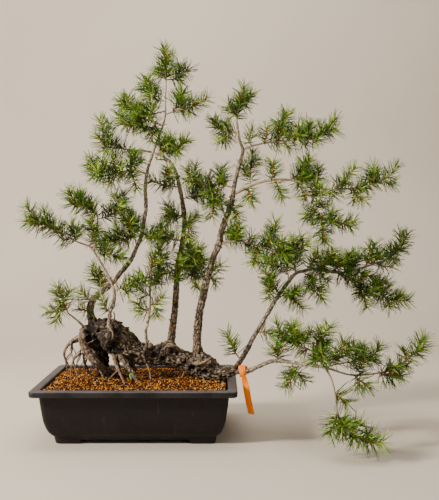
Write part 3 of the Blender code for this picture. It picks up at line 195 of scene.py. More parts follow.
# Leafy twigs: parent, then shoots; a shoot is its bare length in mm and the way it runs, and the first
# shoot of a spray grows from the parent, the others from a shoot before them
SPRAYS = {
    "tall_crown": ("tall_trunk", [
        (5, [(166, 83), (165.2, 68), (164.5, 50, -12)]),
        (10, [(165.8, 80), (174.5, 79), (181, 75.5), (187, 70, 16)]),
        (5, [(165.5, 76), (161, 76), (157.5, 73, 14)])]),
    "tall_left_2": ("tall_trunk", [(10, [(165.4, 101), (156, 98.6), (150, 91), (144.5, 82, 28)])]),
    "tall_right_2": ("tall_trunk", [
        (16, [(165, 115), (176.4, 110.5), (192.7, 107), (205.5, 99, -34)]),
        (4, [(174, 111.3), (177.7, 101), (181, 92, -6)])]),
    "tall_left_3": ("tall_trunk", [
        (20, [(165.2, 111), (152, 114.5), (142.7, 117.3), (134.5, 112), (126, 106), (121, 100, 40)]),
        (3, [(139.5, 115.3), (139, 110), (140.5, 105, 0)]),
        (3, [(152, 114.5), (151.5, 110), (152.5, 105, -10)])]),
    "tall_left_4": ("tall_trunk", [
        (18, [(162.5, 126), (151, 120.3), (138, 123), (127, 125.5), (121.4, 122.7), (119.5, 116, -36)]),
        (8, [(156, 122.5), (153, 132), (152, 140, -26)])]),
    "tall_right_3": ("tall_trunk", [
        (12, [(152.5, 154), (165.5, 151), (177, 147.7), (186, 140.5, -38)]),
        (3, [(162, 151.8), (165, 146), (167, 140, -40)])]),
    "tall_left_6": ("tall_trunk", [
        (20, [(146.8, 174), (133.6, 170), (121, 172.7), (106, 175.4), (95.5, 172), (88, 165, -48)]),
        (3, [(118, 173.2), (115, 166), (113, 158, -20)]),
        (3, [(129, 171), (134.5, 161), (135, 153, 2)]),
        (3, [(131, 170.5), (134, 180), (136.5, 188, -36)])]),
    "tall_left_7": ("tall_trunk", [
        (6, [(143, 229), (136, 224), (130, 214.5, 26)]),
        (1, [(136.5, 224.3), (130, 222), (124, 218.5, -4)])]),
    "tall_left_8": ("tall_trunk", [
        (10, [(141.5, 236), (131, 238), (114.5, 240.6), (96, 241.5, 34)]),
        (3, [(119, 240), (117.5, 235), (117, 229, 46)]),
        (3, [(132, 237.8), (131, 231), (130, 223, -28)])]),
    "tall_base": ("tall_trunk", [(3, [(92, 302), (87, 298), (81, 291.5, 16)])]),
    "tall_behind": ("tall_trunk", [(4, [(101, 292), (99.5, 280), (94, 267, 34)])]),
    "back_left_5": ("back_trunk", [
        (5, [(131, 150), (117, 148), (105.5, 146), (97, 136, 4)]),
        (4, [(118, 148.2), (109, 137), (103, 128), (100, 120.5, 34)])]),
    "back_left_1": ("back_trunk", [
        (10, [(179, 187), (165, 185), (151.5, 180.5, 16)]),
        (2, [(171, 185.9), (169.5, 178), (168.5, 170, -4)])]),
    "back_right_2": ("back_trunk", [
        (10, [(182, 199.5), (194.5, 195), (204.5, 197), (216, 202), (227, 205, 6)]),
        (3, [(190, 196.6), (195, 190.5), (200, 186, 54)])]),
    "back_left_2": ("back_trunk", [
        (5, [(184.5, 218), (173, 212), (168.5, 206, 52)]),
        (3, [(178.5, 214.9), (171, 219), (166, 224.5, 24)])]),
    "back_right_3": ("back_trunk", [
        (5, [(184.3, 224), (191, 221), (197, 215.5, 22)]),
        (3, [(188, 222.2), (188.5, 230), (188, 237, -6)])]),
    "back_left_3": ("back_trunk", [
        (8, [(182.5, 240.5), (170, 238.5), (159, 227, 6)]),
        (3, [(171, 238.6), (163, 238), (154, 234.5, 38)])]),
    "back_left_4": ("back_trunk", [
        (10, [(177.7, 268), (166, 273), (153, 278), (141, 276, 2)]),
        (5, [(160.5, 275.2), (160.3, 262), (161.5, 243.5, 8)])]),
    "back_right_5": ("back_trunk", [
        (8, [(177.8, 267), (189, 269.5), (204, 272, 6)]),
        (3, [(190, 269.6), (191, 258), (187.5, 246, 40)]),
        (3, [(191, 269.8), (194, 277), (196.5, 286, -10)]),
        (3, [(198, 271.2), (201, 262), (200, 250.5, 8)])]),
    "back_front": ("back_trunk", [(4, [(176.4, 284), (178.5, 275), (179.5, 261, -16)])]),
    "lean_tip": ("lean_trunk", [
        (8, [(80, 243), (68, 237.7), (55.5, 231), (42, 223.6), (32, 214), (28, 208, -46)]),
        (2, [(76, 241.3), (74, 234), (71, 227, 6)]),
        (2, [(50, 228.3), (46, 220), (44, 212, -12)]),
        (2, [(43, 224.4), (35, 224), (28, 221, -62)])]),
    "lean_stem_top": ("lean_stem", [
        (4, [(97.7, 222), (96.5, 213.6), (88, 208), (76.4, 203), (68.5, 192, -44)]),
        (8, [(97.3, 219), (106, 217), (117, 212), (122.7, 202), (123.6, 194.5, 6)]),
        (2, [(87, 207.5), (83, 200), (80, 193, -8)])]),
    "lean_shoot": ("lean_trunk", [(8, [(89.5, 246.8), (91.4, 240), (93, 229), (92.5, 219, -40)])]),
    "lean_right": ("lean_trunk", [(6, [(98, 258), (104.5, 253), (114, 255.5), (122, 256.5, -34)])]),
    "lean_low": ("lean_trunk", [(8, [(113.5, 290.5), (127, 286.5), (138, 283), (145, 281, -36)])]),
    "lean_loop": ("lean_trunk", [(3, [(110, 313), (105, 307), (101, 298, -30)])]),
    "left_low": ("left_stem", [
        (4, [(68, 313), (65, 305.5), (62.7, 299), (58.5, 289, -34)]),
        (3, [(66.5, 309), (60, 312), (48, 311, -10)])]),
    "thin_top": ("thin_trunk", [(3, [(151, 271), (152, 264), (153.5, 255.5, -30)])]),
    "thin_right": ("thin_trunk", [
        (3, [(150.4, 305), (156, 303), (161, 298.5, -36)]),
        (1, [(154, 304), (156, 309), (157, 315, -26)])]),
    "mid_crown": ("mid_trunk", [
        (4, [(236.8, 122), (238.6, 110), (241.8, 98), (244, 88, -16)]),
        (2, [(237.5, 116.5), (233, 113), (229, 106, 6)]),
        (2, [(239.5, 106.5), (246, 102), (251.5, 95, -2)])]),
    "mid_left_1": ("mid_trunk", [
        (6, [(238.3, 133), (227, 132), (219, 128.5), (214, 120.5, 14)]),
        (3, [(230.5, 132.3), (226, 138), (219, 141, -34)])]),
    "mid_right_1": ("mid_trunk", [
        (22, [(242.9, 150), (254, 145.5), (267.7, 142.7), (286, 141), (304, 140), (317, 136.8),
              (326.4, 129.5), (334, 120, -44)]),
        (3, [(299, 140.3), (303, 132.5), (307, 126, -2)]),
        (4, [(277, 141.9), (282, 129), (286, 113.5, 8)]),
        (3, [(264, 143.5), (266, 136), (267, 129, -36)]),
        (4, [(252, 146.5), (249, 141), (251, 133, -30)])]),
    "mid_right_3": ("mid_trunk", [
        (30, [(233, 195), (240.5, 191), (255, 184), (269.5, 180.5), (286, 179.7), (299.5, 182),
              (315, 186.4), (332.7, 190), (348, 188.6), (364.5, 187), (377, 182), (388, 177),
              (394.5, 168.5, -52)]),
        (6, [(250.5, 186.2), (250, 172), (252.5, 153, 14)]),
        (3, [(290, 180), (298.6, 174), (306, 166.5), (308.5, 159, -34)]),
        (2, [(271, 180.5), (273, 173), (273, 164, -40)]),
        (2, [(276, 180.2), (278, 188), (282, 197, 4)]),
        (2, [(316, 186.6), (318, 179), (318, 170, 0)]),
        (3, [(334, 189.9), (343.6, 180), (354.5, 168.5, -46)]),
        (2, [(352, 188.4), (356, 194.5), (364, 200, -58)]),
        (2, [(369, 185.4), (371.5, 177), (373.5, 168, -10)]),
        (2, [(247, 188), (250, 194), (252, 202, -34)]),
        (8, [(306.4, 184), (308, 192), (315.5, 205), (321.4, 220), (325.3, 241, -56)]),
        (4, [(320.6, 218), (333.6, 221), (344.5, 223.6), (353.5, 222, -84)]),
        (2, [(311, 197), (317, 196), (323, 191, -70)]),
        (2, [(317, 208.5), (311, 212), (306, 217, -18)])]),
    "mid_left_2": ("mid_trunk", [
        (8, [(234, 188), (222.7, 185), (209, 184.5), (196, 182), (187, 169, 26)]),
        (3, [(219, 185), (221.5, 177), (222.3, 169, 4)]),
        (4, [(226, 186), (215.5, 190), (213, 201), (212.5, 215, -18)])]),
    "mid_front": ("mid_trunk", [(2, [(230.5, 204.5), (233, 209), (237, 217, -36)])]),
    "mid_right_4": ("mid_trunk", [
        (14, [(218, 246), (228, 242), (241, 241.4), (252.7, 244.5), (266.4, 248), (281, 255),
              (292.7, 252.7), (300.5, 238.5, -60)]),
        (3, [(236, 241.7), (237, 234), (239, 225.5, -40)]),
        (3, [(262, 247), (268, 240.5), (273.6, 231), (275.3, 223, -20)]),
        (3, [(258, 245.9), (258, 252), (254, 261.5, -42)]),
        (2, [(280, 254.4), (281, 248), (281, 241, -76)])]),
    "slant_tip": ("slant_trunk", [(4, [(382.7, 261), (394.5, 253.6), (404, 242), (407, 235, 60)])]),
    "slant_up_1": ("slant_trunk", [(4, [(316, 268.8), (325.5, 262.7), (333, 251.5, 14)])]),
    "slant_up_2": ("slant_trunk", [(4, [(345, 271.8), (350, 263), (356, 256, 70)])]),
    "slant_up_3": ("slant_trunk", [(4, [(365, 266.9), (369.5, 259), (374.5, 244.5, 36)])]),
    "slant_low": ("slant_trunk", [
        (14, [(337, 272.7), (353.6, 279), (372, 289.5), (390, 299.5), (407, 301, 24)]),
        (4, [(358, 281.6), (361.5, 292), (366.5, 305.5, 12)]),
        (3, [(373, 290), (379, 287), (385, 282, 56)])]),
    "slant_down": ("slant_trunk", [
        (10, [(302, 271.2), (310, 278), (316.4, 287), (323, 298.5, 4)]),
        (3, [(308, 276), (311, 280), (309, 288, 40)])]),
    "slant_up_0": ("slant_trunk", [(4, [(295.5, 273.6), (295, 264), (296.3, 253.5, 14)])]),
    "slant_left_arc": ("slant_trunk", [
        (10, [(289, 281.2), (287, 272), (278, 265.5), (266, 264), (257, 261.5, 46)])]),
    "slant_left_low": ("slant_trunk", [
        (6, [(279.5, 294), (272.7, 283), (265.5, 273, 2)]),
        (2, [(275, 286.8), (271.5, 290), (269, 297.5, -14)])]),
    "slant_right_low": ("slant_trunk", [
        (5, [(283, 289), (288, 296), (294, 300), (301, 307, -8)]),
        (2, [(289.5, 297), (293, 292.5), (298, 290, -14)])]),
    "low_thin_shoot": ("slant_trunk", [(16, [(241, 360), (235.5, 353), (232, 346), (227.3, 334.5, -28)])]),
    "low_up_1": ("low_branch", [(5, [(277, 360.8), (278.6, 351), (281.5, 341, -66)])]),
    "low_down_1": ("low_branch", [
        (6, [(292, 362.4), (293, 369), (291.5, 378), (286.5, 387, -100)]),
        (3, [(293, 370), (298, 373), (304, 380, -84)])]),
    "low_fork": ("low_branch", [
        (10, [(316, 365.8), (314, 357), (311, 350.5), (301, 347), (289, 342), (282.7, 336),
              (277, 325, -104)]),
        (6, [(313.5, 355.5), (319, 344), (329, 327.5, -150)]),
        (3, [(295, 344.6), (294, 337), (293.5, 328.5, -152)]),
        (2, [(315, 361), (319, 359.5), (322, 355, -176)])]),
    "low_up_right": ("low_branch", [
        (10, [(326, 367.3), (334, 364.7), (343.7, 363), (359.5, 360.5), (372, 356), (379.5, 347.5, -118)]),
        (6, [(333, 364.9), (340.6, 353), (344.5, 343, -172)]),
        (3, [(353, 361.6), (357.5, 354), (362, 347, -96)])]),
    "low_right_tip": ("low_branch_right", [
        (4, [(361.6, 375), (374, 373.7), (388, 370.5), (403.7, 362.6), (415, 351.6), (424, 339.5, -112)]),
        (2, [(378, 373), (388, 376), (399, 376, -96)])]),
    "low_right_star": ("low_branch_right", [
        (3, [(354, 374.8), (358, 379), (368, 386.5, -154)])]),
    "pendant": ("low_branch", [
        (38, [(325, 367.2), (331.5, 380), (335, 395), (337, 411, -195), (341.6, 423.7), (354, 435),
              (366, 441.6),
              (380, 443, -238)]),
        (3, [(337, 413), (334, 424), (330.5, 433, -214)]),
        (3, [(334.4, 393), (340, 397), (346, 402, -184)])]),
}

# Sprays whose leading shoot is bare for longer, in mm
BARER = {"mid_right_3": 200, "mid_right_1": 50, "low_fork": 32, "low_up_right": 40, "low_right_tip": 40,
         "pendant": 100}

# Finer shoots of a spray, which grow from its parent or from a shoot before them
MORE_SHOOTS = {
    "slant_up_1": [
        (3, [(309, 269.8), (312, 263), (318, 256, 10)]), (3, [(321, 270), (326, 264), (334, 257, 50)]),
        (3, [(331, 272), (338, 267), (346, 260, 24)]), (3, [(344, 272), (351, 266.5), (358, 258, 60)]),
        (3, [(313, 269), (319, 275), (327, 279, 24)]), (3, [(338, 272.7), (344, 278), (353, 281, 30)]),
        (3, [(357, 269.5), (363, 275), (372, 277, 40)])],
    "mid_right_3": [
        (3, [(300, 182), (304, 175), (312, 171, 0)]), (3, [(296, 181), (300, 187), (305, 195, -6)])],
    "tall_left_8": [(5, [(141.5, 235), (150, 234), (157.5, 236.5, -20)])],
    "tall_base": [(3, [(90.5, 310), (85.5, 311), (80, 308.5, -14)])],
    "tall_left_4": [(4, [(151, 121), (156, 126), (158, 131, 8)])],
    "back_left_5": [(3, [(126, 149.4), (131, 151), (136, 156, 40)])],
    "back_right_5": [
        (4, [(186, 269), (193, 261), (197, 249, -14)]), (4, [(186, 269), (188, 255), (190, 241, 16)])],
    "thin_top": [
        (2, [(150.3, 296), (144, 293), (138, 288, -32)]), (2, [(149.6, 311), (143, 309), (138, 303, -6)]),
        (2, [(150.4, 286), (156, 281), (160, 274, -8)])],
    "mid_front": [
        (4, [(208.5, 272.5), (213.5, 270.5), (219, 266, -8)]),
        (3, [(207.7, 276), (211, 277), (215, 281, 20)]), (4, [(221, 233), (229, 236), (236, 241, 12)])],
    "slant_left_low": [(4, [(257, 332.5), (264, 332), (270, 333.5, -14)])],
    "slant_tip": [
        (3, [(376, 263.4), (383, 266), (391, 266.5, 48)]),
        (3, [(371, 265.2), (377, 259), (385, 253.5, 66)])],
    "low_fork": [
        (4, [(301, 347), (305, 341), (310, 333, -120)]), (3, [(311, 350.5), (316, 349), (323, 342, -110)])],
    "low_right_tip": [(3, [(355.8, 372), (360.6, 366.8), (365, 360, -150)])],
}

# Fine roots that only the finished surface has: parent, radii in mm and the way they run to the soil
FINE_ROOTS = [
    ("thick_root", 1.5, 1.0, [(80.5, 335), (75.5, 337), (68.4, 343), (63.4, 353), (65.4, 361), (65.7, 369)]),
    ("root_thin_1", 1.5, 0.9, [(71.8, 343), (70.7, 349), (71.5, 355), (66.9, 360.5), (65, 368)]),
    ("root_thin_1", 1.3, 0.8, [(71.5, 353), (73, 359), (71.5, 365), (70.7, 373.4), (70, 381)]),
    ("root_thin_3", 1.4, 0.8, [(80.4, 350.5), (80, 358), (76.8, 363.5), (75.3, 371)]),
    ("root_thin_3", 1.2, 0.7, [(80.4, 350), (75.5, 355), (72.5, 361), (74, 368)]),
    ("root_thin_3", 1.5, 0.8, [(80, 353), (84, 354.6), (86, 356.6), (83, 362.7), (80, 366.6), (81, 374)]),
    ("root_thin_5", 1.6, 0.8, [(86.4, 361.2), (84.5, 367.3), (88.3, 373.4), (96.7, 376.6), (100, 377.4)]),
    ("root_under_mass", 1.6, 1.0, [(118.4, 370), (112, 376), (107.4, 381.4)]),
    ("thin_root", 1.2, 0.7, [(150.8, 379.5), (148.6, 382.4), (146, 384.6)]),
    ("root_thin_4", 1.5, 0.9, [(84, 352), (79, 357), (77, 364), (79, 370)]),
    ("root_inner", 1.8, 1.0, [(93.6, 351), (92.5, 364), (90, 371)]),
    ("thick_root", 1.4, 0.8, [(89, 355), (90, 361), (95, 369), (97, 379)]),
    ("root_thin_1", 1.2, 0.8, [(73, 341.5), (72.6, 347), (75.5, 353), (74, 362), (76, 369)]),
    ("mass_under", 1.7, 1.0, [(102.8, 352), (101, 360), (104, 368), (103, 376)]),
    ("thin_root", 2.0, 1.5, [(147.4, 365), (152.5, 367.4), (158.5, 370.6), (165, 374, 24)]),
    ("raft", 1.6, 0.9, [(183, 362), (184, 372), (181, 379)]),
    ("raft", 1.4, 0.9, [(204, 370), (203, 377), (206, 383)]),
]
# Dark roots behind the front ones, under the mass
INNER_ROOTS = [
    (6.0, 4.0, [(92, 341, 8), (94.5, 351, 12), (99, 361, 18), (103, 370), (105, 377.5)]),
    (6.5, 4.5, [(97, 344, 0), (98.5, 354, 4), (102, 363, 10), (107, 371), (110, 378)]),
    (5.0, 3.2, [(87, 337, 2), (89.5, 348, 6), (94, 357, 12), (98, 366), (99, 377)]),
    (6.0, 4.4, [(113, 349, 10), (115.5, 357, 14), (118, 365), (120, 376.5)]),
    (5.0, 3.6, [(122, 354, -6), (126, 361, 0), (131, 368), (134, 377.5)]),
]
# Loops of root and knobs that lie on the raft and on a trunk: radii, soot and the way they run
LOOPS = [
    (4.2, 3.0, 0.0, [(193, 362.5, -14), (199, 364, -25), (204, 362.5, -29), (208.5, 359.5, -28),
                     (212, 358.5, -24), (214.8, 361.5, -21), (216, 366, -19)]),
    (2.2, 1.6, 0.0, [(155, 157, 30), (158, 159.5, 27), (163, 159.5, 31), (167, 161.5, 36)]),
    (2.8, 2.2, 0.2, [(109.5, 327, -40), (112.5, 332, -43), (113.3, 336, -42), (110.5, 340, -38),
                     (108, 343, -30)]),
    (6.0, 4.6, 0.2, [(108, 334, -36), (105.5, 338.5, -33), (102.5, 344, -27)]),
    (2.6, 2.2, 0.3, [(93, 333, -22), (87.5, 334.5, -27), (84.2, 339, -30), (86, 345, -32), (91, 350, -30)]),
    (2.4, 2.0, 0.4, [(84, 345, -30), (89, 342.5, -32), (95, 339.5, -30), (99, 336, -28)]),
    (3.0, 2.4, 0.4, [(166, 343, -12), (170, 346.5, -19), (176, 346, -16), (181, 350, -12)]),
    (4.4, 4.0, 0.8, [(98.5, 324, -4), (99.3, 318.5, -6)]),
    (5.6, 5.0, 0.8, [(104, 325, -10), (105, 318.5, -12)]),
    (2.6, 1.6, 0.5, [(111.5, 325, -12), (114, 319, -14), (114.6, 315, -14), (113.4, 311.5, -14)]),
    (4.6, 4.0, 0.8, [(116, 327, -8), (120, 322.5, -8), (121.5, 324, -8)]),
    (2.6, 2.2, 0.8, [(126.5, 334, -8), (127.2, 329.5, -8)]),
    (3.4, 2.8, 0.6, [(133, 340, -6), (136, 337.5, -6), (138.5, 341, -6)]),
    (2.8, 2.6, 0.6, [(150.5, 350, -12), (151, 344.6, -12)]),
]
# Hollows between the roots in the mass and along the raft, sunk into the skin and painted near black as
# shade: the place and the radius in mm
HOLLOWS = [
    (90, 327.5, 15), (88.5, 339.5, 9), (96.5, 344, 10), (94, 336.5, 8), (117, 331, 14), (115.5, 345, 10),
    (122, 350, 8), (103, 351, 12), (110, 350, 8), (98, 330, 6), (133, 358, 9), (154, 353, 6), (163, 360, 9),
    (185, 363, 7), (192, 368, 8), (205, 373, 8), (172, 351, 6), (178, 352, 5), (144, 361, 8),
]
HOLLOW_DEPTH = 7.0 * MM
TANGLE_ROOTS = 30           # seeded roots and ridges that creep over the raft
KNOBS = 46                  # and burls, as lumps sunk in its skin
STUBS = 64                  # short dead stubs, along these limbs
STUBBED = ["tall_trunk", "lean_trunk", "back_trunk", "thin_trunk", "mid_trunk", "slant_trunk", "low_branch"]

WEED_PLACES = [(128, 377), (131.5, 381)]
STALK_RADIUS = 0.8 * MM
LEAF_LENGTH = (12, 18)      # in mm
LEAF_WIDTH = 8.5 * MM
LEAF_THICKNESS = 0.3 * MM
MOSS_PLACES = [(162, 379), (158, 376), (170, 381), (110, 379.5), (201, 382), (186, 378)]
BLADES = 26                 # of moss at each place
BLADE_RADII = np.array((0.35, 0.3, 0.12)) * MM


def linear(code):
    """A screen colour such as 8a7866 as the linear light that a shader mixes."""
    parts = [int(code[i:i + 2], 16) / 255 for i in (0, 2, 4)]
    return (*[part / 12.92 if part <= 0.04045 else ((part + 0.055) / 1.055) ** 2.4 for part in parts], 1.0)


class Value:
    """A node's output on which sums are written as in Python."""

    def __init__(self, net, socket):
        self.net = net
        self.socket = socket

    def output(self, name):
        return Value(self.net, self.socket.node.outputs[name])

    def part(self, axis):
        """One number of a vector: 0, 1 or 2 for x, y or z."""
        return self.net.node("ShaderNodeSeparateXYZ", {}, {0: self}, axis)

    def __add__(self, other):
        return self.net.maths("ADD", self, other)

    __radd__ = __add__

    def __sub__(self, other):
        return self.net.maths("SUBTRACT", self, other)

    def __rsub__(self, other):
        return self.net.maths("SUBTRACT", other, self)

    def __mul__(self, other):
        return self.net.maths("MULTIPLY", self, other)

    __rmul__ = __mul__

    def __truediv__(self, other):
        return self.net.maths("DIVIDE", self, other)


class Net:
    """A node tree, of a material or of geometry, written down one node at a time."""

    def __init__(self, tree):
        self.tree = tree

    def node(self, kind, settings=None, sockets=None, out=0):
        """Adds a node: its settings first, then the values or links of its sockets."""
        made = self.tree.nodes.new(kind)
        for key, value in (settings or {}).items():
            if key == "stops":
                ramp = made.color_ramp.elements
                for place, colour in value[2:]:
                    ramp.new(place).color = linear(colour)
                for element, (place, colour) in zip((ramp[0], ramp[-1]), value[:2]):
                    element.position = place
                    element.color = linear(colour)
            else:
                setattr(made, key, value)
        for key, value in (sockets or {}).items():
            if isinstance(value, Value):
                self.tree.links.new(value.socket, made.inputs[key])
            else:
                made.inputs[key].default_value = value
        return Value(self, made.outputs[out])

    def join(self, values):
        """Several geometries as one; the input takes many links."""
        made = self.tree.nodes.new("GeometryNodeJoinGeometry")
        for value in values:
            self.tree.links.new(value.socket, made.inputs[0])
        return Value(self, made.outputs[0])

    def maths(self, operation, *terms):
        """A sum of numbers, or of vectors where one of the terms is a vector."""
        vector = any(isinstance(term, Value) and term.socket.type in ("VECTOR", "RGBA") for term in terms)
        if vector:
            terms = [(term,) * 3 if isinstance(term, (int, float)) else term for term in terms]
        kind = "ShaderNodeVectorMath" if vector else "ShaderNodeMath"
        return self.node(kind, {"operation": operation}, dict(enumerate(terms)))

    def step(self, value, low, high, start=0.0, end=1.0):
        """Smooth step from start to end as the value goes from low to high."""
        return self.node("ShaderNodeMapRange", {"interpolation_type": "SMOOTHSTEP"},
                         {"Value": value, 1: low, 2: high, 3: start, 4: end})

    def noise(self, place, scale, detail=2.0, roughness=0.55, out=0):
        return self.node("ShaderNodeTexNoise", {}, {"Vector": place, "Scale": scale, "Detail": detail,
                                                    "Roughness": roughness}, out)

    def vector(self, x, y, z):
        return self.node("ShaderNodeCombineXYZ", {}, {0: x, 1: y, 2: z})

    def cells(self, place, scale, feature="F1"):
        return self.node("ShaderNodeTexVoronoi", {"feature": feature}, {"Vector": place, "Scale": scale})


class Finish(Net):
    """A material whose colour, roughness and relief are written as a net."""

    def __init__(self, name, roughness=0.5, **uniform):
        self.material = bpy.data.materials.new(name)
        self.material.use_nodes = True
        super().__init__(self.material.node_tree)
        self.shader = self.tree.nodes["Principled BSDF"]
        self.shader.inputs["Roughness"].default_value = roughness
        for key, value in uniform.items():
            self.shader.inputs[key.replace("_", " ")].default_value = value
        self.place = self.node("ShaderNodeTexCoord", out=3)

    def attribute(self, name):
        return self.node("ShaderNodeAttribute", {"attribute_name": name}, out=2)

    def attributes(self, *names):
        return [self.attribute(name) for name in names]

    def mix(self, amount, first, second):
        """Goes from the first colour to the second, each a value or the code of a screen colour."""
        ends = [linear(colour) if isinstance(colour, str) else colour for colour in (first, second)]
        return self.node("ShaderNodeMix", {"data_type": "RGBA"}, {0: amount, 6: ends[0], 7: ends[1]}, 2)

    def coats(self, colour, *coats):
        """Lays coats over a colour: how much of each, and its own colour."""
        for amount, coat in coats:
            colour = self.mix(amount, colour, coat)
        return colour

    def set(self, name, value):
        self.tree.links.new(value.socket, self.shader.inputs[name])

    def relief(self, height, distance, strength=1.0):
        self.set("Normal", self.node("ShaderNodeBump", {}, {"Strength": strength, "Distance": distance,
                                                            "Height": height}))


class Growth(Net):
    """A geometry tree with named inputs: numbers, and None for a material to be set."""

    def __init__(self, name, inputs):
        super().__init__(bpy.data.node_groups.new(name, "GeometryNodeTree"))
        face = self.tree.interface
        face.new_socket("Geometry", in_out="OUTPUT", socket_type="NodeSocketGeometry")
        face.new_socket("Geometry", in_out="INPUT", socket_type="NodeSocketGeometry")
        for title, value in inputs.items():
            kind = {float: "Float", int: "Int", type(None): "Material"}[type(value)]
            socket = face.new_socket(title, in_out="INPUT", socket_type="NodeSocket" + kind)
            if value is not None:
                socket.default_value = value
        source = self.tree.nodes.new("NodeGroupInput")
        self.given = {socket.name: Value(self, socket) for socket in source.outputs if socket.name}

    def attribute(self, name, data_type="FLOAT"):
        return self.node("GeometryNodeInputNamedAttribute", {"data_type": data_type}, {"Name": name})

    def stored(self, geometry, name, value, domain="POINT"):
        return self.node("GeometryNodeStoreNamedAttribute", {"data_type": "FLOAT", "domain": domain},
                         {"Geometry": geometry, "Name": name, "Value": value})

    def on(self, kind, geometry, **sockets):
        """A node that changes a geometry, by its kind without GeometryNode."""
        return self.node("GeometryNode" + kind, {}, {"Geometry": geometry, **sockets})

    def chance(self, low, high, seed):
        return self.node("FunctionNodeRandomValue", {"data_type": "FLOAT"},
                         {2: low, 3: high, "Seed": self.given["Seed"] + float(seed)}, 1)

    def finish(self, geometry):
        target = self.tree.nodes.new("NodeGroupOutput")
        self.tree.links.new(geometry.socket, target.inputs[0])
        return self.tree


def grown(item, tree, settings):
    """Runs a geometry tree on an object and keeps the result as its plain mesh."""
    step = item.modifiers.new(tree.name, "NODES")
    step.node_group = tree
    for socket in tree.interface.items_tree:
        if socket.name in settings:
            step[socket.identifier] = settings[socket.name]
    return applied(item)


def applied(item):
    """Fixes an object's modifiers in its mesh."""
    bpy.context.view_layer.update()
    mesh = bpy.data.meshes.new_from_object(item.evaluated_get(bpy.context.evaluated_depsgraph_get()))
    item.modifiers.clear()
    item.data = mesh
    return item


def placed(name, data, *materials):
    """A mesh, a bmesh, a light or a camera as an object of the scene at the origin."""
    if isinstance(data, bmesh.types.BMesh):
        shape = data
        data = bpy.data.meshes.new(name)
        shape.to_mesh(data)
        shape.free()
    item = bpy.data.objects.new(name, data)
    bpy.context.scene.collection.objects.link(item)
    for material in materials:
        data.materials.append(material)
    return item


def mark(mesh, name, values):
    """Keeps a number for each point of a mesh."""
    numbers = mesh.attributes.new(name, "FLOAT", "POINT").data
    numbers.foreach_set("value", values.astype(np.float32))


def soften(item, angle):
    """Shades a piece smooth, but for edges sharper than the angle in degrees."""
    item.data.shade_smooth()
    item.data.set_sharp_from_angle(angle=math.radians(angle))


def unit(vector):
    return vector / np.linalg.norm(vector)


def kept(item, slot, *nodes):
    """Makes an object a piece of the plant that stands for some of the solids."""
    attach(item, "root")
    if nodes:
        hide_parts(*nodes)
    return item


def sight_line(x, y):
    """Direction in which the eye sees a place of the picture, one unit deep."""
    side = (x - PICTURE_CENTRE[0]) / EYE_FOCAL
    rise = (PICTURE_CENTRE[1] - y) / EYE_FOCAL
    ray = Vector((side, math.cos(EYE_PITCH) + rise * math.sin(EYE_PITCH),
                  rise * math.cos(EYE_PITCH) - math.sin(EYE_PITCH)))
    return ray / ray.y


def seen(x, y, depth):
    """Place in space of a place in the picture, depth mm behind the middle of the plant."""
    return np.array(EYE + sight_line(x, y) * (depth * MM + PLANT_DEPTH))


def depth_on_soil(x, y):
    """Depth in mm at which the eye sees the soil's surface."""
    return ((SOIL_TOP - EYE.z) / sight_line(x, y).z - PLANT_DEPTH) / MM


def traced(points, first_depth=0.0):
    """Pixels with a depth for each: given at some points, spread evenly between them."""
    flat = np.array([point[:2] for point in points], float)
    along = lengths_along(flat)
    keys = [(along[i], point[2]) for i, point in enumerate(points) if len(point) == 3]
    if len(points[0]) == 2:
        keys.insert(0, (0.0, first_depth))
    stops, depths = zip(*keys)
    return np.column_stack((flat, np.interp(along, stops, depths)))


def lengths_along(places):
    return np.concatenate(([0.0], np.cumsum(np.linalg.norm(np.diff(places, axis=0), axis=1))))


def nearest_on(trace, x, y):
    """Distance in the picture from a traced route to x, y, and the route's depth there."""
    best = (math.inf, 0.0)
    for start, end in zip(trace[:-1], trace[1:]):
        step = end[:2] - start[:2]
        share = np.clip(np.dot((x, y) - start[:2], step) / max(np.dot(step, step), 1e-9), 0, 1)
        place = start + (end - start) * share
        best = min(best, (math.dist(place[:2], (x, y)), place[2]))
    return best


def wood_routes():
    """Every trunk, branch and root as its trace, its places in space and its radii."""
    random = np.random.default_rng(SEED)
    routes = {"raft": (np.array([row[:3] for row in RAFT], float), [row[3] for row in RAFT])}
    for name, (parent, root, tip, points) in LIMBS.items():
        trace = traced(points, nearest_on(routes[parent][0], *points[0][:2])[1])
        radii = np.linspace(root, tip, len(trace))
        if root > UNEVEN_OVER:
            radii = radii * random.uniform(0.92, 1.1, len(radii))
        routes[name] = (trace, radii)
    for name, (root, tip, points) in ROOTS.items():
        end = points[-1][:2]
        trace = traced([*points[:-1], (*end, depth_on_soil(*end))])
        routes[name] = (trace, np.linspace(root, tip, len(trace)))
    result = {}
    for name, (trace, radii) in routes.items():
        places = [seen(*row) for row in trace]
        radii = list(radii)
        if name in ROOTS:
            places.append(places[-1] - ROOT_END * UP)
            radii.append(radii[-1])
        result[name] = (trace, np.array(places), np.array(radii) * MM)
    return result


def smooth_path(places, radii, spacing):
    """A smooth curve through the places, with its radii, at even spacing."""
    spots = np.vstack((2 * places[0] - places[1], places, 2 * places[-1] - places[-2]))
    t = np.linspace(0, 1, 8, endpoint=False)[:, None]
    fine = []
    for before, start, end, after in zip(spots[:-3], spots[1:-2], spots[2:-1], spots[3:]):
        fine.append(0.5 * (2 * start + (end - before) * t
                           + (2 * before - 5 * start + 4 * end - after) * t ** 2
                           + (3 * start - before - 3 * end + after) * t ** 3))
    fine = np.vstack((*fine, places[-1:]))
    along = lengths_along(fine)
    count = max(3, round(along[-1] / spacing) + 1)
    wanted = np.linspace(0, along[-1], count)
    path = np.column_stack([np.interp(wanted, along, fine[:, axis]) for axis in range(3)])
    return path, np.interp(wanted, along[::8], radii)


def smooth_line(places, spacing):
    """A smooth curve through the places, where the radii don't matter."""
    places = np.array(places)
    return smooth_path(places, np.ones(len(places)), spacing)[0]


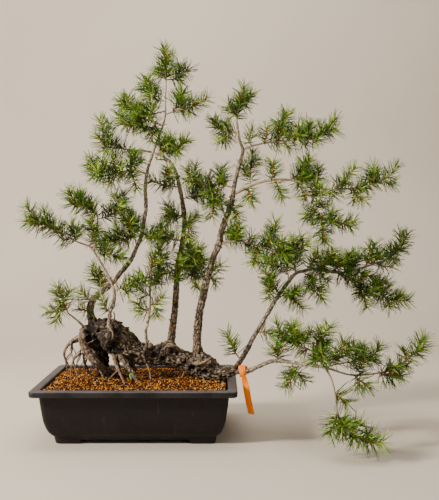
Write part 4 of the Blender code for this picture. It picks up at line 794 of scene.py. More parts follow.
def path_frames(path):
    """Along, side and up directions at each place of a path, carried on without twist."""
    steps = np.diff(path, axis=0)
    along = np.vstack((steps[:1], steps[:-1] + steps[1:], steps[-1:]))
    along /= np.linalg.norm(along, axis=1)[:, None]
    side = np.cross(along[0], (0.3, 0.5, 0.8))
    sides = []
    for direction in along:
        side = unit(side - direction * (side @ direction))
        sides.append(side)
    return along, np.array(sides), np.cross(along, sides)


def add_quads(shape, rows):
    """Adds faces to a bmesh between each closed row of points and the next."""
    count = len(rows[0])
    for lower, upper in zip(rows[:-1], rows[1:]):
        for i in range(count):
            j = (i + 1) % count
            shape.faces.new((lower[i], lower[j], upper[j], upper[i]))


def add_tube(shape, path, radii, sides=12):
    """Adds a closed tube with rounded ends to a bmesh."""
    along, side, up = path_frames(path)
    turns = np.linspace(0, math.tau, sides, endpoint=False)
    rows = [[shape.verts.new(place + radius * (math.cos(turn) * s + math.sin(turn) * u)) for turn in turns]
            for place, radius, s, u in zip(path, radii, side, up)]
    add_quads(shape, rows)
    first = shape.verts.new(path[0] - along[0] * radii[0] * 0.6)
    last = shape.verts.new(path[-1] + along[-1] * radii[-1] * 0.6)
    for i in range(sides):
        j = (i + 1) % sides
        shape.faces.new((rows[0][j], rows[0][i], first))
        shape.faces.new((rows[-1][i], rows[-1][j], last))


# Bark: how sooty it is at a limb's foot and tip, how pale, how lichened, and a limb's girth
RAFT_SOOT = {"raft": (1.0, 0.4), "mass_left": (1, 1), "mass_front": (0.9, 0.9), "mass_under": (1, 1),
             "tall_flare": (1, 0.6), "mid_flare": (0.5, 0.3), "raft_stub": (0.5, 0.4),
             "raft_knob": (0.4, 0.4), "raft_burl": (0.5, 0.4)}
ROOT_SOOT = {"thick_root": (0.1, 0.0), "root_under_mass": (0.35, 0.0), "root_front": (0.4, 0.1),
             "thin_root": (0.0, 0.0), "thin_root_side": (0.0, 0.0)}
PALE_TRUNKS = {"lean_trunk": 0.8, "low_branch": 1.0, "low_branch_right": 0.9, "slant_trunk": 0.9,
               "tall_trunk": 0.8, "mid_trunk": 0.45, "back_trunk": 0.5, "thin_trunk": 0.2, "lean_stem": 0.4}
LICHEN = {"back_trunk": 1.0, "mid_trunk": 0.45, "raft": 0.3, "mid_flare": 0.5, "raft_burl": 0.8}
USUAL_LICHEN = 0.12
STOUTNESS = {"mid_flare": 0.84, "mid_trunk": 0.9, "thin_trunk": 1.22}   # times the radii of LIMBS
# Knobs on the thin trunk: x, y and radius in mm
THIN_TRUNK_KNOBS = [(145.2, 331, 2.6), (148.2, 326, 2.2), (145.4, 338, 2.6), (148.4, 341, 3.0),
                    (146.5, 322, 2.2), (149.8, 313, 2.0), (144.6, 347, 2.6), (151.2, 302, 1.8)]
SOOTY_END = 0.075           # of the raft, up to where the ridges on it are sooty
SOOT_FADE = 60 * MM         # length over which a limb's bark goes from its foot's soot to its tip's
UNEVEN_OVER = 4             # mm of radius from which a limb swells and thins along its way
ROOT_END = 18 * MM          # of a root, below the soil's top
ROOTLET_END = 6 * MM
LIMB_STEP = 3.0 * MM        # between the points of a limb's path
ROOTLET_STEP = 2.5 * MM
FINEST = 0.8                # mm of radius up to which the bark has no plates
YOUNG_UNDER = 2.4           # mm of radius, and at half of it the bark is all young
POINTS_AT_ONCE = 4000       # of a skin, measured against all the paths
SIGHT_WIDTH = 1.5 * MM      # to either side of the eye's line, for the skin that it meets first

# What Wood keeps for each point of a limb's path, by column
PLACE, ALONG, SIDE, ACROSS = (slice(first, first + 3) for first in (0, 3, 6, 9))
RUN, WIDTH, SOOT, ROOTLIKE, LICHENED, PALE = range(12, 18)


class Wood:
    """Limbs to be fused into one skin, and what their bark is like along the way."""

    def __init__(self, spacing=LIMB_STEP):
        self.shape = bmesh.new()
        self.spacing = spacing
        self.rows = []

    def add(self, name, places, radii, dark=(0, 0), root=0.0, lichen=0.0):
        """Adds a limb; dark is how sooty its bark is at its foot and farther on."""
        path, widths = smooth_path(np.array(places), radii, self.spacing)
        add_tube(self.shape, path, widths)
        run = lengths_along(path)
        kind = np.tile((root, lichen, PALE_TRUNKS.get(name, 0.0)), (len(path), 1))
        self.rows.append(np.column_stack((path, *path_frames(path), run, widths,
                                          np.interp(run, (0.0, SOOT_FADE), dark), kind)))

    def branch_off(self, name, parent, root, tip, points, dark=(0, 0), root_like=0.0):
        """Adds a rootlet from its parent's trace to the soil, or to the depth of its last point."""
        end = points[-1] if len(points[-1]) == 3 else (*points[-1], depth_on_soil(*points[-1]))
        depth = nearest_on(parent, *points[0])[1] if parent is not None else 0.0
        places = [seen(*row) for row in traced([*points[:-1], end], depth)]
        places.append(places[-1] - ROOTLET_END * UP)
        self.add(name, places, np.linspace(root, tip, len(places)) * MM, dark, root=root_like)

    def knob(self, place, radius):
        bmesh.ops.create_icosphere(self.shape, subdivisions=2, radius=radius,
                                   matrix=Matrix.Translation(place))

    def skin(self, name, voxel, hollows=(), coarse_over=5.3):
        """Fuses the limbs by a fine remesh and marks the bark's grain and kind on each point.

        Plates are full size where a limb's radius is over coarse_over, in mm.
        """
        item = placed(name, self.shape)
        fuse = item.modifiers.new("Fuse", "REMESH")
        fuse.mode = "VOXEL"
        fuse.voxel_size = voxel
        mesh = applied(item).data
        points = np.zeros(len(mesh.vertices) * 3)
        mesh.vertices.foreach_get("co", points)
        points = points.reshape(-1, 3)
        rows = np.vstack(self.rows)
        nearest = np.zeros(len(points), int)
        for start in range(0, len(points), POINTS_AT_ONCE):
            block = points[start:start + POINTS_AT_ONCE]
            apart = ((block ** 2).sum(1)[:, None] + (rows[:, PLACE] ** 2).sum(1)
                     - 2 * block @ rows[:, PLACE].T)
            off_bark = np.sqrt(np.maximum(apart, 0)) - rows[:, WIDTH]
            nearest[start:start + POINTS_AT_ONCE] = np.argmin(off_bark, axis=1)
        rows = rows[nearest]
        apart = points - rows[:, PLACE]
        grain = np.column_stack([(apart * rows[:, axis]).sum(1) for axis in (SIDE, ACROSS, ALONG)])
        grain[:, 2] += rows[:, RUN]
        width = rows[:, WIDTH] / MM
        mark(mesh, "coarse", np.clip((width - FINEST) / (coarse_over - FINEST), 0, 1))
        mark(mesh, "young", np.clip((YOUNG_UNDER - width) / (YOUNG_UNDER / 2), 0, 1))
        mark(mesh, "pit", hollowness(points, hollows))
        for key, column in (("dark", SOOT), ("root", ROOTLIKE), ("lichen", LICHENED), ("pale", PALE)):
            mark(mesh, key, rows[:, column])
        spot = mesh.attributes.new("grain", "FLOAT_VECTOR", "POINT")
        spot.data.foreach_set("vector", grain.astype(np.float32).ravel())
        return item


def hollowness(points, hollows):
    """How deep each point lies in a hollow, which is set where the eye first meets the skin."""
    result = np.zeros(len(points))
    for x, y, radius in hollows:
        ray = np.array(sight_line(x, y).normalized())
        apart = points - np.array(EYE)
        far = apart @ ray
        beside = np.linalg.norm(apart - far[:, None] * ray, axis=1)
        middle = points[np.where(beside < SIGHT_WIDTH, far, math.inf).argmin()]
        share = np.linalg.norm(points - middle, axis=1) / (radius * MM)
        result = np.maximum(result, np.clip(1.2 - share, 0, 1))
    return result


def bark_relief():
    """Plates parted by fissures along the grain, over lumps; the coarser the older the wood."""
    net = Growth("bark relief", {
        "Plate width": 6.0 * MM, "Plate length": 13.0 * MM, "Plate depth": 1.2 * MM, "Grit": 0.5 * MM,
        "Lump size": 13.0 * MM, "Lump depth": 3.0 * MM, "Hollow depth": HOLLOW_DEPTH, "Finish": None})
    given = net.given
    place = net.node("GeometryNodeInputPosition")
    normal = net.node("GeometryNodeInputNormal")
    plates = (net.attribute("grain", "FLOAT_VECTOR")
              / net.vector(given["Plate width"], given["Plate width"], given["Plate length"]))
    bent = plates + net.noise(plates, 0.55, 3.0, out=1) * 2.0
    plate = net.step(net.cells(bent, 1.0, "DISTANCE_TO_EDGE"), 0.03, 0.24)
    flake = net.step(net.cells(bent * 2.1, 1.0, "DISTANCE_TO_EDGE"), 0.0, 0.22)
    fine = net.noise(place, 420.0, 3.0, 0.65)
    lumps = net.noise(place / given["Lump size"], 1.0, 2.0, 0.5)
    dents = net.step(net.cells(place / given["Lump size"], 1.6), 0.1, 0.75)
    coarse = net.attribute("coarse")
    height = (coarse * given["Plate depth"] * (plate - 0.7 + (flake - 0.7) * 0.35)
              + given["Grit"] * (0.4 + coarse) * (fine - 0.5) * 1.3
              + coarse * (net.attribute("dark") * 0.6 + 0.4) * given["Lump depth"]
              * (lumps * 2.2 - 1.1 - dents * 0.7 + 0.25)
              - net.attribute("pit") * given["Hollow depth"])
    # under is how far the skin faces down, hollow how low it lies among the lumps; the bark's finish darkens
    # both as painted shade
    marks = {"plate": plate * (flake * 0.4 + 0.6), "under": net.step(normal.part(2), 0.0, -0.8),
             "fine": fine, "tone": net.cells(bent * 1.3, 1.0).output("Color"),
             "hollow": dents - lumps * 0.8 + 0.4}
    bark = net.on("SetPosition", given["Geometry"], Offset=normal * height)
    for name, value in marks.items():
        bark = net.stored(bark, name, value)
    return net.finish(net.on("SetMaterial", net.on("SetShadeSmooth", bark), Material=given["Finish"]))


def bark_finish():
    net = Finish("pine bark", 0.85, Specular_IOR_Level=0.35)
    plate, fine, coarse, pale, tone, dark = net.attributes("plate", "fine", "coarse", "pale", "tone", "dark")
    broad = net.noise(net.place, 60.0, 3.0)
    grit = net.noise(net.place, 900.0, 2.0, 0.6)
    grain = net.node("ShaderNodeAttribute", {"attribute_name": "grain"}, out=1)
    streaks = net.noise(grain * net.vector(1.0, 1.0, 0.35), 420.0, 3.0, 0.65)
    rooty = net.coats(
        net.mix(net.step(broad, 0.3, 0.7), "6c543e", "a28567"),
        # partly the roots' own pale flecks, partly a painted highlight on the raised grit
        (net.step(fine, 0.4, 0.7) * 0.5, "d4bc9f"),
        (net.step(streaks, 0.5, 0.64) * 0.65, "30231a"))
    soot = net.coats(
        # near black to pale by the raised grit: partly the bark's own flecks, partly a painted highlight
        net.mix(net.step(fine, 0.3, 0.68), "150e0a", "beab95"),
        (net.step(broad, 0.45, 0.7) * 0.5, "664b38"),
        (tone * 0.75, "30251e"))
    soot = net.mix(plate, "0b0806", soot)
    # painted shade: the soot darkens in the dents between the lumps
    soot = net.mix(net.step(net.attribute("hollow"), 0.5, 0.95) * 0.8, soot, "120d0a")
    crust = net.step(net.noise(net.place, 130.0, 4.0, 0.7), 0.53, 0.63) * net.attribute("lichen")
    net.set("Base Color", net.coats(
        net.mix(net.step(broad, 0.35, 0.65), "dcc0a0", "ab8e6b"),
        (pale * 0.85, "ead6bc"),
        (net.attribute("young") * 0.8, "80674f"),
        # partly pale flecks of the bark, partly a painted highlight on the raised grit
        (net.step(fine, 0.3, 0.7) * 0.55, "f0dfc6"),
        (tone * (0.65 - pale * 0.2), "6a4f38"),
        (net.step(streaks, 0.52, 0.64) * 0.7, "35271d"),
        (net.step(coarse, 0.0, 0.75) * (1.0 - plate) * (1.0 - pale * 0.12), "1c120b"),
        (net.attribute("root"), rooty),
        (net.step(dark + (broad - 0.5) * 0.9, 0.15, 0.85), soot),
        (crust * 0.8, net.mix(net.step(grit, 0.4, 0.6), "8f6e1c", "c4942e")),
        # painted shade on the undersides of the bark, the more where it is sooty
        (net.attribute("under") * (dark * 0.45 + 0.15), "120d0a"),
        # painted shade: near black in the hollows between the roots
        (net.step(net.attribute("pit"), 0.1, 0.75) * 0.93, "070504"),
        (net.step(grit, 0.3, 0.7) * 0.3, "241a14")))
    net.set("Roughness", net.step(grit, 0.3, 0.7, 0.75, 0.95))
    net.relief(grit + fine + streaks, 0.35 * MM, 0.8)
    return net.material


def add_tangle(wood, routes, random):
    """Ridges and roots that creep over the raft's skin and fuse with it, with burls between them."""
    path, widths = smooth_path(*routes["raft"][1:], LIMB_STEP)
    _, side, up = path_frames(path)
    run = lengths_along(path)

    def on_skin(place, turn, share=1.0):
        i = int(np.clip(np.searchsorted(run, place), 0, len(run) - 1))
        return path[i] + widths[i] * share * (math.cos(turn) * side[i] + math.sin(turn) * up[i]), widths[i]

    for _ in range(TANGLE_ROOTS):
        place = run[-1] * random.beta(1.1, 1.9)
        turn = random.uniform(0, math.tau)
        spots = []
        sooty = 1.0 if place < SOOTY_END else 0.4
        for _ in range(random.integers(4, 7)):
            spots.append(on_skin(place, turn, random.uniform(0.9, 1.0))[0])
            place = place + random.uniform(-12, 22) * MM
            turn += random.uniform(-0.3, 0.75)
        thick = random.uniform(2.2, 4.6) * MM
        wood.add("tangle", spots, np.linspace(thick, thick * 0.6, len(spots)), (sooty, sooty))
    for _ in range(KNOBS):
        spot, width = on_skin(run[-1] * random.uniform(0.02, 0.95), random.uniform(0, math.tau))
        wood.knob(spot, width * random.uniform(0.08, 0.19))


def add_stubs(wood, routes, random):
    """Short dead stubs and knots that stand off the trunks and the low branch."""
    for _ in range(STUBS):
        name = STUBBED[random.integers(len(STUBBED))]
        path, widths = smooth_path(*routes[name][1:], LIMB_STEP)
        along, side, up = path_frames(path)
        i = random.integers(8, len(path) - 4)
        turn = random.uniform(0, math.tau)
        out = math.cos(turn) * side[i] + math.sin(turn) * up[i] + 0.5 * along[i]
        thick = min(widths[i] * 0.5, 2.4 * MM)
        reach = widths[i] + random.uniform(0.8, 3.6) * MM
        wood.add(name, [path[i], path[i] + out * reach * 0.6, path[i] + out * reach],
                 np.array((thick * 1.3, thick, thick * 0.7)), (0.2, 0.2))


def make_wood(routes, finish):
    random = np.random.default_rng(SEED + 1)
    mass = Wood()
    trunks = Wood()
    for name, (_, places, radii) in routes.items():
        lichen = LICHEN.get(name, USUAL_LICHEN)
        stout = STOUTNESS.get(name, 1.0)
        if name in RAFT_SOOT:
            mass.add(name, places, radii * stout, RAFT_SOOT[name], lichen=lichen)
        elif name in ROOTS:
            smooth = float(np.interp(max(radii), (2.5 * MM, 8 * MM), (1.0, 0.45)))
            bark = float(np.interp(max(radii), (4 * MM, 8 * MM), (1.05, 1.18)))
            mass.add(name, places, radii * bark, ROOT_SOOT.get(name, (0.65, 0.2)), root=smooth)
        else:
            foot = 0.9 if LIMBS[name][0] == "raft" and name != "low_branch" else 0.15
            trunks.add(name, places, radii * stout, (foot, 0.0), lichen=lichen)
    for x, y, radius in THIN_TRUNK_KNOBS:
        trunks.knob(seen(x, y, nearest_on(routes["thin_trunk"][0], x, y)[1] - 2), radius * MM)
    add_tangle(mass, routes, random)
    add_stubs(trunks, routes, random)
    for root, tip, points in INNER_ROOTS:
        mass.branch_off("inner", None, root, tip, points, (1.0, 1.0))
    for root, tip, soot, points in LOOPS:
        mass.add("loop", [seen(*row) for row in traced(points)], np.linspace(root, tip, len(points)) * MM,
                 (soot, soot), root=1.0 - soot)
    fine = Wood(ROOTLET_STEP)
    for parent, root, tip, points in FINE_ROOTS:
        fine.branch_off("fine", routes[parent][0], root, tip, points, (0.3, 0.0), 1.0)
    relief = bark_relief()
    for skin, depths in (
            (mass.skin("root_mass", 1.38 * MM, HOLLOWS), {"Plate depth": 2.2 * MM, "Lump depth": 2.2 * MM}),
            (trunks.skin("trunks", 1.32 * MM, coarse_over=7.4), {
                "Lump depth": 1.9 * MM, "Plate width": 5.8 * MM, "Plate length": 10.5 * MM,
                "Plate depth": 1.5 * MM, "Grit": 0.65 * MM}),
            (fine.skin("fine_roots", 0.66 * MM), {"Grit": 0.3 * MM})):
        kept(grown(skin, relief, {"Finish": finish, **depths}), "bark", "pine_wood")


# Sprays that make one piece together, by the first word of their names
FOLIAGE = {"foliage_tall": ("tall",), "foliage_back": ("back",), "foliage_lean": ("lean", "left", "thin"),
           "foliage_mid": ("mid",), "foliage_slant": ("slant",), "foliage_low": ("low", "pendant")}
TUFT_STEP = 9.0 * MM        # between the small side tufts of a shoot
OPEN_SPRAYS = {"low": 1.9, "pendant": 1.3, "back": 2.4, "slant": 1.3, "left": 1.0, "lean": 1.5,
               "lean_tip": 2.2, "mid": 1.2, "mid_right_3": 2.3, "mid_front": 1.6}
TUFT_LENGTH = (9.0 * MM, 24.0 * MM)
TUFT_PATH = 6.0 * MM        # between the points of a tuft's path
TUFT_BARE = 2.0 * MM
SHOOT_STEP = 3.5 * MM       # between the points of a shoot's path
LONG_SHOOT = 0.12           # from which a shoot is thicker and its side tufts are longer
OLD_WOOD = (45, 60)         # mm from the tip where the needles start to thin out, and over how far
YOUNG_WOOD = 0.075          # of a shoot, which is the younger the nearer to its tip
CLOSE_NEEDLES = 0.030       # of a shoot, where needles lean towards its tip
BUD = np.array([(0.4, 1.25), (1.0, 0.25)])      # its places along its length, and its thickness there
POINT_KINDS = ("thick", "fullness", "youth", "lean", "vigour", "shade")


def shoots_of(name, routes, random):
    """A spray's shoots as places in space and bare length: the traced ones, then small side tufts."""
    parent, shoots = SPRAYS[name]
    traces = []
    grown_shoots = []
    for number, (bare, points) in enumerate([*shoots, *MORE_SHOOTS.get(name, [])]):
        near = traces if 0 < number < len(shoots) else [routes[parent][0], *traces]
        depth = min(nearest_on(one, *points[0][:2]) for one in near)[1]
        trace = traced(points, depth)
        traces.append(trace)
        bare = BARER.get(name, bare) if number == 0 else bare
        path = smooth_line([seen(*row) for row in trace], SHOOT_STEP)
        grown_shoots.append((path, bare * MM, number == 0))
    openness = OPEN_SPRAYS.get(name, OPEN_SPRAYS.get(name.split("_")[0], 1.0))
    for path, bare, _ in list(grown_shoots):
        grown_shoots += side_tufts(path, bare, random, TUFT_STEP * openness)
    return grown_shoots


def side_tufts(path, bare, random, spacing):
    """Short shoots all round a shoot, that fill a spray out."""
    run = lengths_along(path)
    along, side, up = path_frames(path)
    tufts = []
    place = bare + random.uniform(4, 12) * MM
    turn = random.uniform(0, math.tau)
    while place < run[-1] - TIP_CLEAR:
        i = int(np.searchsorted(run, place))
        out = unit(math.cos(turn) * side[i] + math.sin(turn) * up[i]
                   + along[i] * random.uniform(0.5, 1.1) + 0.25 * UP)
        length = random.uniform(*TUFT_LENGTH) * (1.25 if run[-1] > LONG_SHOOT else 1.0)
        spots = [path[i], path[i] + out * length * 0.5,
                 path[i] + out * length + UP * length * random.uniform(0.0, 0.25)]
        tufts.append((smooth_line(spots, TUFT_PATH), TUFT_BARE, False))
        turn += GOLDEN_ANGLE
        place += spacing * random.uniform(0.75, 1.35)
    return tufts


def spray_lines(shoots, random, stretch, shed):
    """Shoots as chains of points, with what the twig and its needles are like at each."""
    rows = []
    links = []
    for path, bare, leading in shoots:
        along = path_frames(path)[0]
        run = lengths_along(path)
        total = run[-1]
        to_tip = total - run
        root = TWIG_ROOT * (max(total / LONG_SHOOT, 1.0) ** 0.62 if leading else 0.8)
        old = np.clip((to_tip / MM - OLD_WOOD[0]) / OLD_WOOD[1], 0, 1)
        fullness = np.where(run > min(bare, total * 0.6), 1.0 - shed * old, 0.0)
        path = np.vstack((path, path[-1] + along[-1] * BUD_LENGTH * BUD[:, :1]))
        thick = np.append(root + (TWIG_TIP - root) * run / total, TWIG_TIP * BUD[:, 1] * 1.15)
        youth = np.append(np.clip(1 - to_tip / YOUNG_WOOD, 0, 1), (1.0, 1.0))
        lean = np.append(np.clip(1 - to_tip / CLOSE_NEEDLES, 0, 1), (1.0, 1.0))
        vigour = np.full(len(path), stretch * random.uniform(0.9, 1.06))
        shade = np.full(len(path), random.uniform(0, 1))
        count = sum(len(row) for row in rows)
        links += [(count + i, count + i + 1) for i in range(len(path) - 1)]
        rows.append(np.column_stack((path, thick, np.append(fullness, (1.0, 0.0)), youth, lean, vigour,
                                     shade)))
    return np.vstack(rows), links


def leafy_twigs():
    """Twigs along chains of points, with pairs of needles set round them by the golden angle."""
    net = Growth("leafy twigs", {
        "Pair spacing": PAIR_SPACING, "Needle length": NEEDLE_LENGTH, "Needle width": NEEDLE_WIDTH,
        "Splay": math.radians(14), "Lean low": math.radians(72), "Lean high": math.radians(49),
        "Rise": 0.10, "Seed": 5, "Bark": None, "Needles": None})
    given = net.given
    position = net.node("GeometryNodeInputPosition")
    lines = net.node("GeometryNodeMeshToCurve", {}, {"Mesh": given["Geometry"]})

    ring = net.node("GeometryNodeCurvePrimitiveCircle", {"mode": "RADIUS"}, {"Resolution": 5, "Radius": 1.0})
    thick = net.attribute("thick") * (net.noise(position, 350.0, 1.0) * 0.5 + 0.75)
    sized = net.node("GeometryNodeSetCurveRadius", {}, {"Curve": lines, "Radius": thick})
    twigs = net.node("GeometryNodeCurveToMesh", {}, {"Curve": sized, "Profile Curve": ring, "Scale": thick,
                                                     "Fill Caps": True})
    twigs = net.on("SetMaterial", net.on("SetShadeSmooth", twigs), Material=given["Bark"])

    cone = net.node("GeometryNodeMeshCone", {"fill_type": "NGON"}, {
        "Vertices": 3, "Side Segments": 1, "Radius Top": given["Needle width"] * 0.22,
        "Radius Bottom": given["Needle width"] * 0.5, "Depth": given["Needle length"]})
    needle = net.stored(cone, "up_needle", position.part(2) / given["Needle length"])
    half = given["Splay"] * 0.5
    pair = net.join([
        net.on("Transform", needle, Rotation=net.vector(0.0, half, 0.0)),
        net.on("Transform", needle, Rotation=net.vector(0.25, half * -1.0, 2.4), Scale=(0.93, 0.93, 0.93))])

    feet = net.node("GeometryNodeCurveToPoints", {"mode": "LENGTH"}, {
        "Curve": lines, "Length": given["Pair spacing"]})
    tangent = feet.output("Tangent")
    side = feet.output("Normal")
    near_tip = net.attribute("lean")
    turn = net.node("GeometryNodeInputIndex") * GOLDEN_ANGLE + net.chance(-0.3, 0.3, 1)
    outward = (side * net.maths("COSINE", turn)
               + net.maths("CROSS_PRODUCT", tangent, side) * net.maths("SINE", turn))
    lean = (given["Lean low"] + (given["Lean high"] - given["Lean low"]) * near_tip
            + net.chance(-0.24, 0.24, 2))
    aim = (tangent * net.maths("COSINE", lean) + outward * net.maths("SINE", lean)
           + net.vector(0.0, 0.0, given["Rise"] * (1.0 - near_tip * 0.6)))
    turned = net.node("FunctionNodeAlignRotationToVector", {"axis": "Z"}, {"Vector": aim})
    roll = net.node("FunctionNodeAxisAngleToRotation", {}, {
        "Axis": (0.0, 0.0, 1.0), "Angle": net.chance(0.0, math.tau, 3)})
    rolled = net.node("FunctionNodeRotateRotation", {"rotation_space": "LOCAL"}, {0: turned, 1: roll})
    size = net.attribute("vigour") * net.chance(0.82, 1.08, 4) * (1.0 - near_tip * 0.12)
    broad = size * 0.5 + 0.5
    chosen = net.node("FunctionNodeCompare", {"operation": "LESS_THAN"}, {
        0: net.chance(0.0, 1.0, 5), 1: net.attribute("fullness")})
    pairs = net.node("GeometryNodeInstanceOnPoints", {}, {
        "Points": feet, "Selection": chosen, "Instance": pair, "Rotation": rolled,
        "Scale": net.vector(broad, broad, size)})
    pairs = net.stored(pairs, "tint", net.chance(0.0, 1.0, 6), "INSTANCE")
    raised = net.maths("MAXIMUM", position.part(2), LOWEST_NEEDLE)
    pairs = net.on("SetPosition", net.on("RealizeInstances", pairs),
                   Position=net.vector(position.part(0), position.part(1), raised))
    return net.finish(net.join([twigs, net.on("SetMaterial", pairs, Material=given["Needles"])]))


def needle_finish():
    net = Finish("pine needles", 0.42, Specular_IOR_Level=0.3)
    tint, youth, up, shade = net.attributes("tint", "youth", "up_needle", "shade")
    net.set("Base Color", net.coats(
        net.mix(net.step(youth, 0.05, 0.6), "263f10", "437018"),
        (net.step(youth, 0.6, 1.0) * 0.7, "86ae22"),
        (net.step(shade, 0.2, 0.9) * 0.35, "2c5819"),
        (net.step(tint, 0.6, 0.1) * 0.8, "101f08"),
        (net.step(tint, 0.8, 0.88) * 0.6, "cbdd62"),
        (net.step(tint, 0.965, 0.975) * net.step(youth, 0.9, 0.4), "a87a35"),
        (net.step(up, 0.12, 0.0), "8a6a3a")))
    net.set("Roughness", net.step(up, 0.0, 1.0, 0.5, 0.38))
    return net.material


def twig_finish():
    net = Finish("twig bark", 0.7, Specular_IOR_Level=0.3)
    youth = net.attribute("youth")
    flecks = net.noise(net.place, 700.0, 2.0, 0.6)
    net.set("Base Color", net.coats(
        net.mix(net.step(youth, 0.0, 0.55), "b3a08a", "96653f"),
        (net.step(youth, 0.5, 0.95), "c8702c"),
        (net.step(flecks, 0.35, 0.7) * 0.5, "4a2f20")))
    net.relief(flecks, 0.3 * MM, 0.6)
    return net.material


def make_foliage(routes):
    tree = leafy_twigs()
    settings = {"Bark": twig_finish(), "Needles": needle_finish()}
    for piece, words in FOLIAGE.items():
        random = np.random.default_rng([SEED, sorted(FOLIAGE).index(piece)])
        names = [name for name in SPRAYS if name.split("_")[0] in words]
        rows = []
        links = []
        for name in names:
            points, edges = spray_lines(shoots_of(name, routes, random), random,
                                        STRETCHES.get(name, 1.0), SHED.get(name, USUAL_SHED))
            count = sum(len(row) for row in rows)
            links += [(a + count, b + count) for a, b in edges]
            rows.append(points)
        rows = np.vstack(rows)
        mesh = bpy.data.meshes.new(piece)
        mesh.from_pydata(rows[:, :3].tolist(), links, [])
        for column, key in enumerate(POINT_KINDS, 3):
            mark(mesh, key, rows[:, column])
        kept(grown(placed(piece, mesh), tree, settings), "needles", *["spray_" + name for name in names])


def rounded_ring(inset, height):
    """Rounded rectangle round the pot's middle, inset from the rim's outside."""
    reach = [side / 2 - inset - CORNER_RADIUS for side in (POT_LENGTH, POT_WIDTH)]
    ring = []
    for quarter, (sign_x, sign_y) in enumerate(((1, 1), (-1, 1), (-1, -1), (1, -1))):
        corner = Vector((sign_x * reach[0], sign_y * reach[1], height))
        for step in range(CORNER_STEPS + 1):
            turn = math.pi / 2 * (quarter + step / CORNER_STEPS)
            ring.append(POT_MIDDLE + corner + CORNER_RADIUS * Vector((math.cos(turn), math.sin(turn), 0)))
    return ring


def loft(rings):
    """Closed skin through rings of equally many points, each end closed to its ring's middle."""
    shape = bmesh.new()
    rows = [[shape.verts.new(point) for point in ring] for ring in rings]
    add_quads(shape, rows)
    count = len(rows[0])
    for row in (rows[0], rows[-1]):
        middle = shape.verts.new(sum((vertex.co for vertex in row), Vector()) / count)
        for i in range(count):
            shape.faces.new((row[i], row[(i + 1) % count], middle))
    bmesh.ops.recalc_face_normals(shape, faces=shape.faces)
    return shape


def pot_finish():
    net = Finish("black moulded plastic", 0.5, Specular_IOR_Level=0.22)
    facing = net.node("ShaderNodeNewGeometry", out=1).part(2)
    height = net.place.part(2)
    cloudy = net.noise(net.place, 18.0, 4.0, 0.6)
    speck = net.noise(net.place, 520.0, 2.0, 0.6)
    streaks = net.noise(net.place * net.vector(1.0, 1.0, 0.16), 90.0, 3.0, 0.6)
    # dust on the faces that look up, partly a painted highlight on the rim's top
    dust_and_highlight = net.step(facing, 0.35, 0.9) * (0.55 + 0.45 * net.step(cloudy, 0.35, 0.65))
    low = net.step(height, 0.055, 0.0) * net.step(cloudy, 0.45, 0.7)
    scuffs = net.step(net.noise(net.place, 240.0, 5.0, 0.75), 0.66, 0.7) * net.step(cloudy, 0.5, 0.6)
    net.set("Base Color", net.coats(
        net.mix(net.step(cloudy, 0.3, 0.7), "110c0d", "181213"),
        (net.step(streaks, 0.6, 0.72) * 0.3, "36302e"),
        (low * 0.3, "40362e"),
        (net.step(height, *RIM_BAND) * net.step(cloudy, 0.3, 0.7, 0.03, 0.1), "6a6260"),
        (dust_and_highlight * 0.75, "66605f"),
        (scuffs * 0.5, "7a7674"),
        (net.step(speck, 0.62, 0.75) * 0.25, "5c5650")))
    net.set("Roughness", net.step(cloudy, 0.3, 0.7, 0.45, 0.62))
    net.relief(speck, 0.12 * MM, 0.5)
    return net.material


def make_pot():
    profile = POT_INSIDE + POT_RIM + POT_OUTSIDE + POT_UNDER
    pot = placed("training_pot", loft([rounded_ring(inset * MM, height * MM) for inset, height in profile]),
                 pot_finish())
    cutter = bmesh.new()
    length, width = (side - 2 * FOOT_INSET for side in (POT_LENGTH, POT_WIDTH))
    for span, reach, turn in ((length, width / 2, 0), (width, length / 2, math.pi / 2)):
        for side in (-1, 1):
            made = bmesh.ops.create_cube(cutter, size=1.0)["verts"]
            for vertex in made:
                low = vertex.co.z < 0
                vertex.co.x *= span - 2 * FOOT_LENGTH + (FOOT_SLANT if low else -FOOT_SLANT)
                vertex.co.y = vertex.co.y * ARCH_DEPTH + side * reach
                vertex.co.z = -2 * MM if low else FOOT_ARCH
            bmesh.ops.rotate(cutter, verts=made, matrix=Matrix.Rotation(turn, 3, "Z"))
            bmesh.ops.translate(cutter, verts=made, vec=POT_MIDDLE)
    for x in (-DRAIN_PLACES[0], DRAIN_PLACES[0]):
        for y in (-DRAIN_PLACES[1], DRAIN_PLACES[1]):
            middle = Matrix.Translation(POT_MIDDLE + Vector((x, y, DRAIN_MIDDLE)))
            bmesh.ops.create_cone(cutter, cap_ends=True, segments=24, radius1=DRAIN_RADIUS,
                                  radius2=DRAIN_RADIUS, depth=DRAIN_DEPTH, matrix=middle)
    hollow = placed("hollows", cutter)
    cut = pot.modifiers.new("Arches", "BOOLEAN")
    cut.operation = "DIFFERENCE"
    cut.solver = "MANIFOLD"
    cut.object = hollow
    applied(pot)
    bpy.data.objects.remove(hollow, do_unlink=True)
    soften(pot, 38)
    kept(pot, "pot_plastic", "pot")


